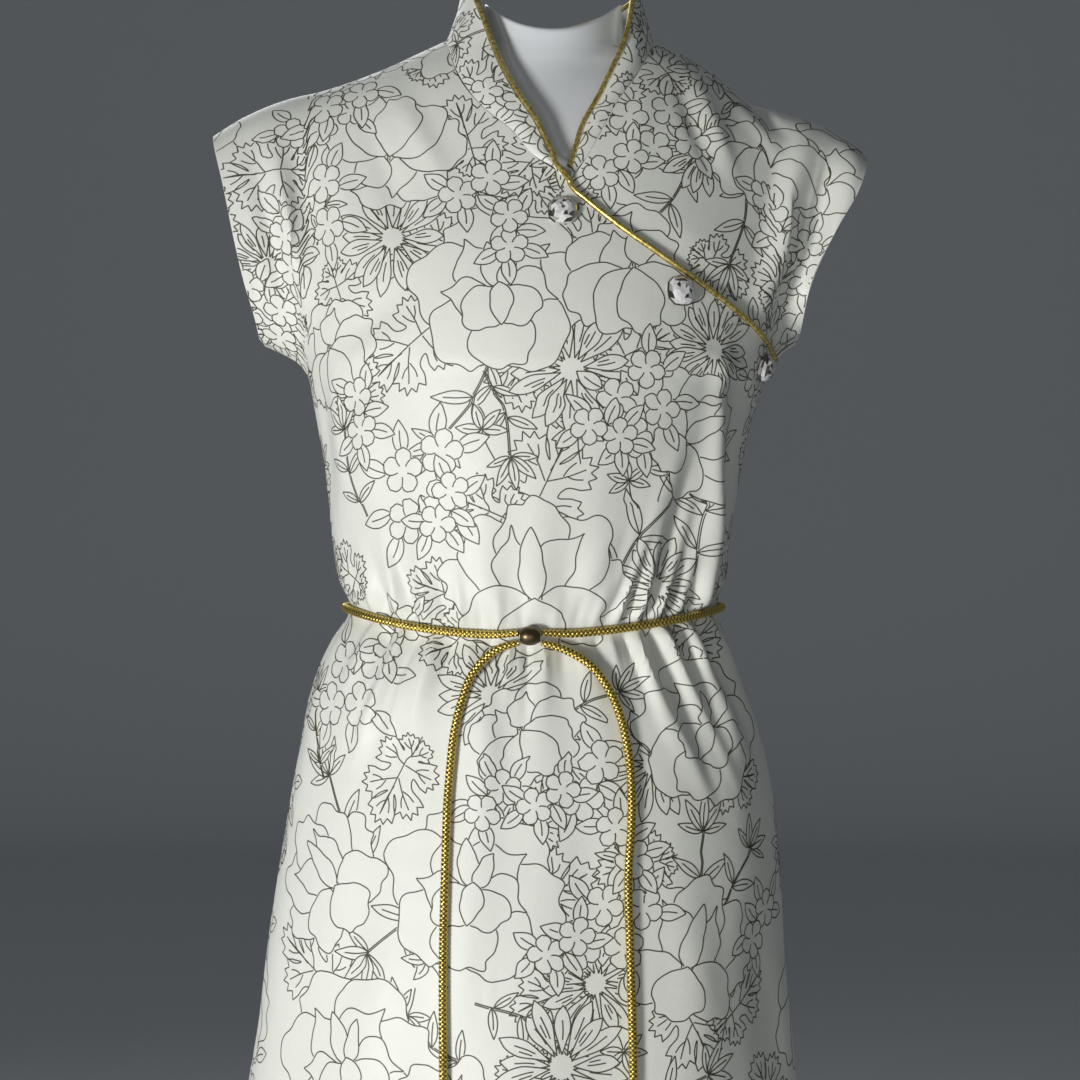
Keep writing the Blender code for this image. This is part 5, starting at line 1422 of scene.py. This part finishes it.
def cells_at(flat_map, points):
    """The fractional rows and columns where a flat map has these values: from the nearest of every
    eighth node, ten steps against the map's slopes."""
    rows, columns = flat_map.shape[:2]
    some = flat_map[::NODE_STEP, ::NODE_STEP]
    far = some.reshape(-1, 2)
    best = np.argmin((far**2).sum(axis=1) - 2 * points @ far.T, axis=1)
    i, j = (float(NODE_STEP) * part for part in divmod(best, some.shape[1]))
    by_row = np.gradient(flat_map, axis=0)
    by_column = np.gradient(flat_map, axis=1)
    for _ in range(SLOPE_STEPS):
        miss = points - between_cells(flat_map, i, j)
        a, b = between_cells(by_row, i, j), between_cells(by_column, i, j)
        area = a[:, 0] * b[:, 1] - a[:, 1] * b[:, 0]
        area = np.where(np.abs(area) < 1e-9, 1e-9, area)
        i = i + np.clip((miss[:, 0] * b[:, 1] - miss[:, 1] * b[:, 0]) / area, -SLOPE_REACH, SLOPE_REACH)
        j = j + np.clip((a[:, 0] * miss[:, 1] - a[:, 1] * miss[:, 0]) / area, -SLOPE_REACH, SLOPE_REACH)
        i, j = np.clip(i, -1, rows), np.clip(j, -1, columns)
    missed = np.linalg.norm(points - between_cells(flat_map, i, j), axis=1)
    on_cloth = missed < INK_MISS
    for at, count in ((i, rows), (j, columns)):
        on_cloth &= (at > INK_MARGIN) & (at < count - 1 - INK_MARGIN)
    return i, j, on_cloth


ink = paint("olive_ink", (0.070, 0.066, 0.040), 0.55)


def printed(name, outer, flat_map):
    """The ink on one panel: thin strips along the seen lines, half a line to each side of them."""
    span = flat_map.reshape(-1, 2)
    points, owner, seen = laid_out(span.min(axis=0), span.max(axis=0))
    points, owner = points[seen], owner[seen]
    i, j, on_cloth = cells_at(flat_map, points)
    place = between_cells(outer, i, j)
    normal = between_cells(facing(outer), i, j)
    gap = np.linalg.norm(np.diff(points, axis=0), axis=1) > LINE_BREAK * LINE_STEP
    follows = (owner[1:] == owner[:-1]) & ~gap & on_cloth[1:] & on_cloth[:-1]
    ahead = np.zeros_like(place)
    step = (place[1:] - place[:-1]) * follows[:, None]
    ahead[:-1] += step
    ahead[1:] += step
    side = np.cross(normal, ahead)
    side /= np.maximum(np.linalg.norm(side, axis=1, keepdims=True), 1e-12)
    raised_place = place + normal * INK_LIFT
    left, right = raised_place + side * LINE_WIDTH / 2, raised_place - side * LINE_WIDTH / 2
    k = np.flatnonzero(follows)
    quads = np.stack([2 * k + 1, 2 * k + 3, 2 * k + 2, 2 * k], axis=-1)
    vertices = np.stack([left, right], axis=1).reshape(-1, 3)
    used = np.unique(quads)
    number = np.zeros(len(vertices), int)
    number[used] = np.arange(len(used))
    mesh = bpy.data.meshes.new(name)
    mesh.from_pydata(vertices[used].tolist(), [], number[quads].tolist())
    mesh.materials.append(ink)
    return show(name, mesh)


front_print = printed("front_print", front_outer, front_flat)
under_print = printed("under_front_print", under_outer, under_flat)
back_print = printed("back_print", back_outer, back_flat)
collar_print = printed("collar_print", band, collar_flat)


# Cord belt: a gold braid of metallic thread, 5.4 mm thick, once round the waist and through a dark
# bronze bead, its two ends hanging down the front and knotted.
CORD = 0.0054
CORD_CLEAR = 0.0006
BEAD_CENTRE_X = -0.0064
BEAD_LENGTH = 0.0130
BEAD_DIAMETER = 0.0125
BEAD_END = 0.0072
CORD_AT_BEAD = 0.72
CORD_OFFSET_AT_BEAD = 0.0021
PINCH_AT_BEAD = 0.016
TAIL_CLEAR = 0.0009
TAIL_LEFT = (
    # x, height. The cord lies on the skirt, so its depth follows from these
    (-0.0137, 1.0), (-0.029, 0.995), (-0.042, 0.982), (-0.052, 0.956), (-0.058, 0.912), (-0.06, 0.86),
    (-0.061, 0.8), (-0.0605, 0.7325), (-0.059, 0.65), (-0.061, 0.575), (-0.062, 0.506),
)
TAIL_RIGHT = (
    (0.0009, 1.0), (0.017, 0.995), (0.034, 0.984), (0.048, 0.962), (0.0565, 0.93), (0.0585, 0.895),
    (0.056, 0.8525), (0.057, 0.8043), (0.0585, 0.7325), (0.057, 0.65), (0.059, 0.575), (0.06, 0.52),
)
TAIL_POINTS = 38
KNOT = 0.0110
BRAID_PITCH = 0.0058
BRAID_STRANDS = 8
BRAID_DEPTH = 0.30
BRAID_SWELL = 1.07
BRAID_STEP = 0.00048
BRAID_SIDES = 32
LOOP_POINTS = 46
BEAD_ROWS = 40
BEAD_SIDES = 64
BEAD_BACK = 0.0005
TAIL_BACK = 0.0008
TAIL_LEAVES = 0.030
TAIL_PINCH = 0.008
KNOT_TURNS = 240
KNOT_SIDES = 12
KNOT_CORD = 0.0018
KNOT_SPAN = 3.1
KNOT_FLAT = 0.9


def waist_ring(turn, out):
    """Points round the body at the belt, `out` beyond the cloth."""
    x = section("centre", WAIST) + (section("half_width", WAIST) + out) * np.sin(turn)
    deep = np.where(np.cos(turn) > 0, section("front", WAIST), section("back", WAIST)) + out
    return np.stack([x, -deep * np.cos(turn), WAIST - dip(turn, WAIST)], axis=-1)


def braided(name, path, thick, outward):
    """A braided cord along a path: a tube with rows of lozenges, the product of two families of
    strands that wind round it both ways. How deep a point lies is kept for painted shade in the recesses."""
    coarse = lengths(path)
    run = np.linspace(0, coarse[-1], int(coarse[-1] / BRAID_STEP) + 1)[:, None]
    columns = np.concatenate([path, outward, np.asarray(thick)[:, None]], axis=1)
    fine = np.concatenate([curve(coarse, column, run) for column in columns.T], axis=1)
    angle = (np.arange(BRAID_SIDES) / BRAID_SIDES)[None, :]
    one = np.abs(np.cos(math.pi * (run / BRAID_PITCH * 2 + BRAID_STRANDS / 2 * angle)))
    other = np.abs(np.cos(math.pi * (run / BRAID_PITCH * 2 - BRAID_STRANDS / 2 * angle)))
    strand = np.sqrt(one * other)
    radius = CORD / 2 * fine[:, 6:7] * (BRAID_SWELL - BRAID_DEPTH * (1 - strand))
    made = tube(name, fine[:, :3], radius, BRAID_SIDES, fine[:, 3:6])
    rise = made.data.attributes.new("rise", "FLOAT", "POINT")
    rise.data.foreach_set("value", np.broadcast_to(strand, radius.shape).astype(np.float32).ravel())
    return made


gold_braid = paint("gold_braid", (0.78, 0.60, 0.13), 0.30, 0.88)
# the deeper a point lies between the strands, the darker its gold, down to near black: painted shade in the
# recesses
braid_recess_shade = node(gold_braid, "ShaderNodeAttribute", attribute_name="rise").outputs["Fac"]
braid_fibre = noise(gold_braid, placed_on(gold_braid, (1400.0, 30.0, 1.0)), 1.0, 2.0)
fed(
    gold_braid,
    Base_Color=ramp(gold_braid, braid_recess_shade, (0.30, (0.075, 0.045, 0.008)), (0.78, (0.90, 0.68, 0.17))),
    Normal=bumped(gold_braid, braid_fibre, 0.5, 0.0004),
)

loop_out = CORD / 2 + CORD_CLEAR
reach = section("half_width", WAIST) + loop_out
bead_side = BEAD_LENGTH / 2 + 3 * SEAM
bead_right = math.asin((BEAD_CENTRE_X + bead_side - section("centre", WAIST)) / reach)
bead_left = math.asin((BEAD_CENTRE_X - bead_side - section("centre", WAIST)) / reach)
loop = waist_ring(np.linspace(bead_right, 2 * math.pi + bead_left, LOOP_POINTS), loop_out)
bead_centre = waist_ring((bead_left + bead_right) / 2, BEAD_DIAMETER / 2 + 2 * SEAM)
near_bead = np.exp(-(((loop[:, 0] - BEAD_CENTRE_X) / PINCH_AT_BEAD) ** 2)) * (loop[:, 1] < 0)
loop[:, 1] += (bead_centre[1] + BEAD_BACK - loop[0, 1]) * near_bead
loop[:, 2] += CORD_OFFSET_AT_BEAD * near_bead
loop_out_way = loop * np.array([1, 1, 0])
belt_loop = braided("waist_cord", loop, 1 - (1 - CORD_AT_BEAD) * near_bead, loop_out_way)
belt_loop.data.materials.append(gold_braid)
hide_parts("belt_loop")

across = np.linspace(-0.5, 0.5, BEAD_ROWS)[:, None] * BEAD_LENGTH
swell = np.sqrt(1 - (2 * across / BEAD_LENGTH) ** 2 * (1 - (BEAD_END / BEAD_DIAMETER) ** 2))
angle = -(np.arange(BEAD_SIDES) / BEAD_SIDES * 2 * math.pi)[None, :]
bead_grid = np.stack(
    np.broadcast_arrays(
        BEAD_CENTRE_X + across,
        bead_centre[1] + swell * BEAD_DIAMETER / 2 * np.cos(angle),
        bead_centre[2] - swell * BEAD_DIAMETER / 2 * np.sin(angle),
    ),
    axis=-1,
)
belt_bead = surface("bronze_bead", bead_grid, wrap=True, caps=True)
dark_bronze = paint("dark_bronze", (0.120, 0.092, 0.048), 0.26, 0.9)
tarnish = noise(dark_bronze, placed_on(dark_bronze), 420.0, 4.0)
fed(dark_bronze, Roughness=ranged(dark_bronze, tarnish, 0.22, 0.5))
belt_bead.data.materials.append(dark_bronze)
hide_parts("belt_bead")


def on_skirt(x, z, out):
    """The points `out` in front of the skirt at x and height z. The level that the belt's dip moves to
    that height is found by trying again from the last one."""
    level = z
    for _ in range(6):
        turn = np.arcsin((x - section("centre", level)) / section("half_width", level))
        level = z + dip(turn, level)
    wave = skirt_wave(turn, level) * np.abs(np.cos(turn)) ** 0.5
    small = fold_height(x, z, FRONT_CREASES) + gathered(x, level - WAIST, FRONT_GATHERS)
    folds = fold_height(x, z, FRONT_FOLDS) + np.maximum(small, 0)
    return np.stack([x, -(section("front", level) + wave) * np.cos(turn) - folds - out, z], axis=-1)


for side, route in (("left", TAIL_LEFT), ("right", TAIL_RIGHT)):
    flat = along(route, TAIL_POINTS)
    tail = on_skirt(flat[:, 0], flat[:, 1], CORD / 2 + TAIL_CLEAR)
    drop = ease((flat[0, 1] - flat[:, 1]) / TAIL_LEAVES)
    leaving = np.minimum(tail[:, 1], bead_centre[1] - TAIL_BACK)
    tail[:, 1] = (1 - drop) * leaving + drop * tail[:, 1]
    for _ in range(3):
        tail[1:-1, 1] = np.minimum(tail[1:-1, 1], (tail[:-2, 1] + tail[2:, 1]) / 2)
    squeeze = 1 - (1 - CORD_AT_BEAD) * np.exp(-(((flat[:, 0] - flat[0, 0]) / TAIL_PINCH) ** 2))
    outward = np.tile(np.array([[0.0, -1.0, 0.0]]), (len(tail), 1))
    hanging = braided(f"hanging_cord_{side}", tail, squeeze, outward)
    hanging.data.materials.append(gold_braid)
    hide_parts(f"belt_tail_{side}")
    a = np.linspace(0, 2 * math.pi, KNOT_TURNS, endpoint=False)
    knot_centre = tail[-1] + np.array([0, (CORD - KNOT) / 2, -KNOT / 2 - SEAM])
    knot_path = np.stack(
        [np.sin(a) + 2 * np.sin(2 * a), KNOT_FLAT * -np.sin(3 * a), np.cos(a) - 2 * np.cos(2 * a)], axis=-1
    )
    knot_path = knot_centre + knot_path * (KNOT / 2 - KNOT_CORD) / KNOT_SPAN
    knot = tube(f"end_knot_{side}", knot_path, KNOT_CORD, KNOT_SIDES, knot_path - knot_centre + 1e-5)
    # the knot keeps no depth, so the whole knot takes the darkest colour of the braid's painted shade
    knot.data.materials.append(gold_braid)
    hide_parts(f"tail_knot_{side}")
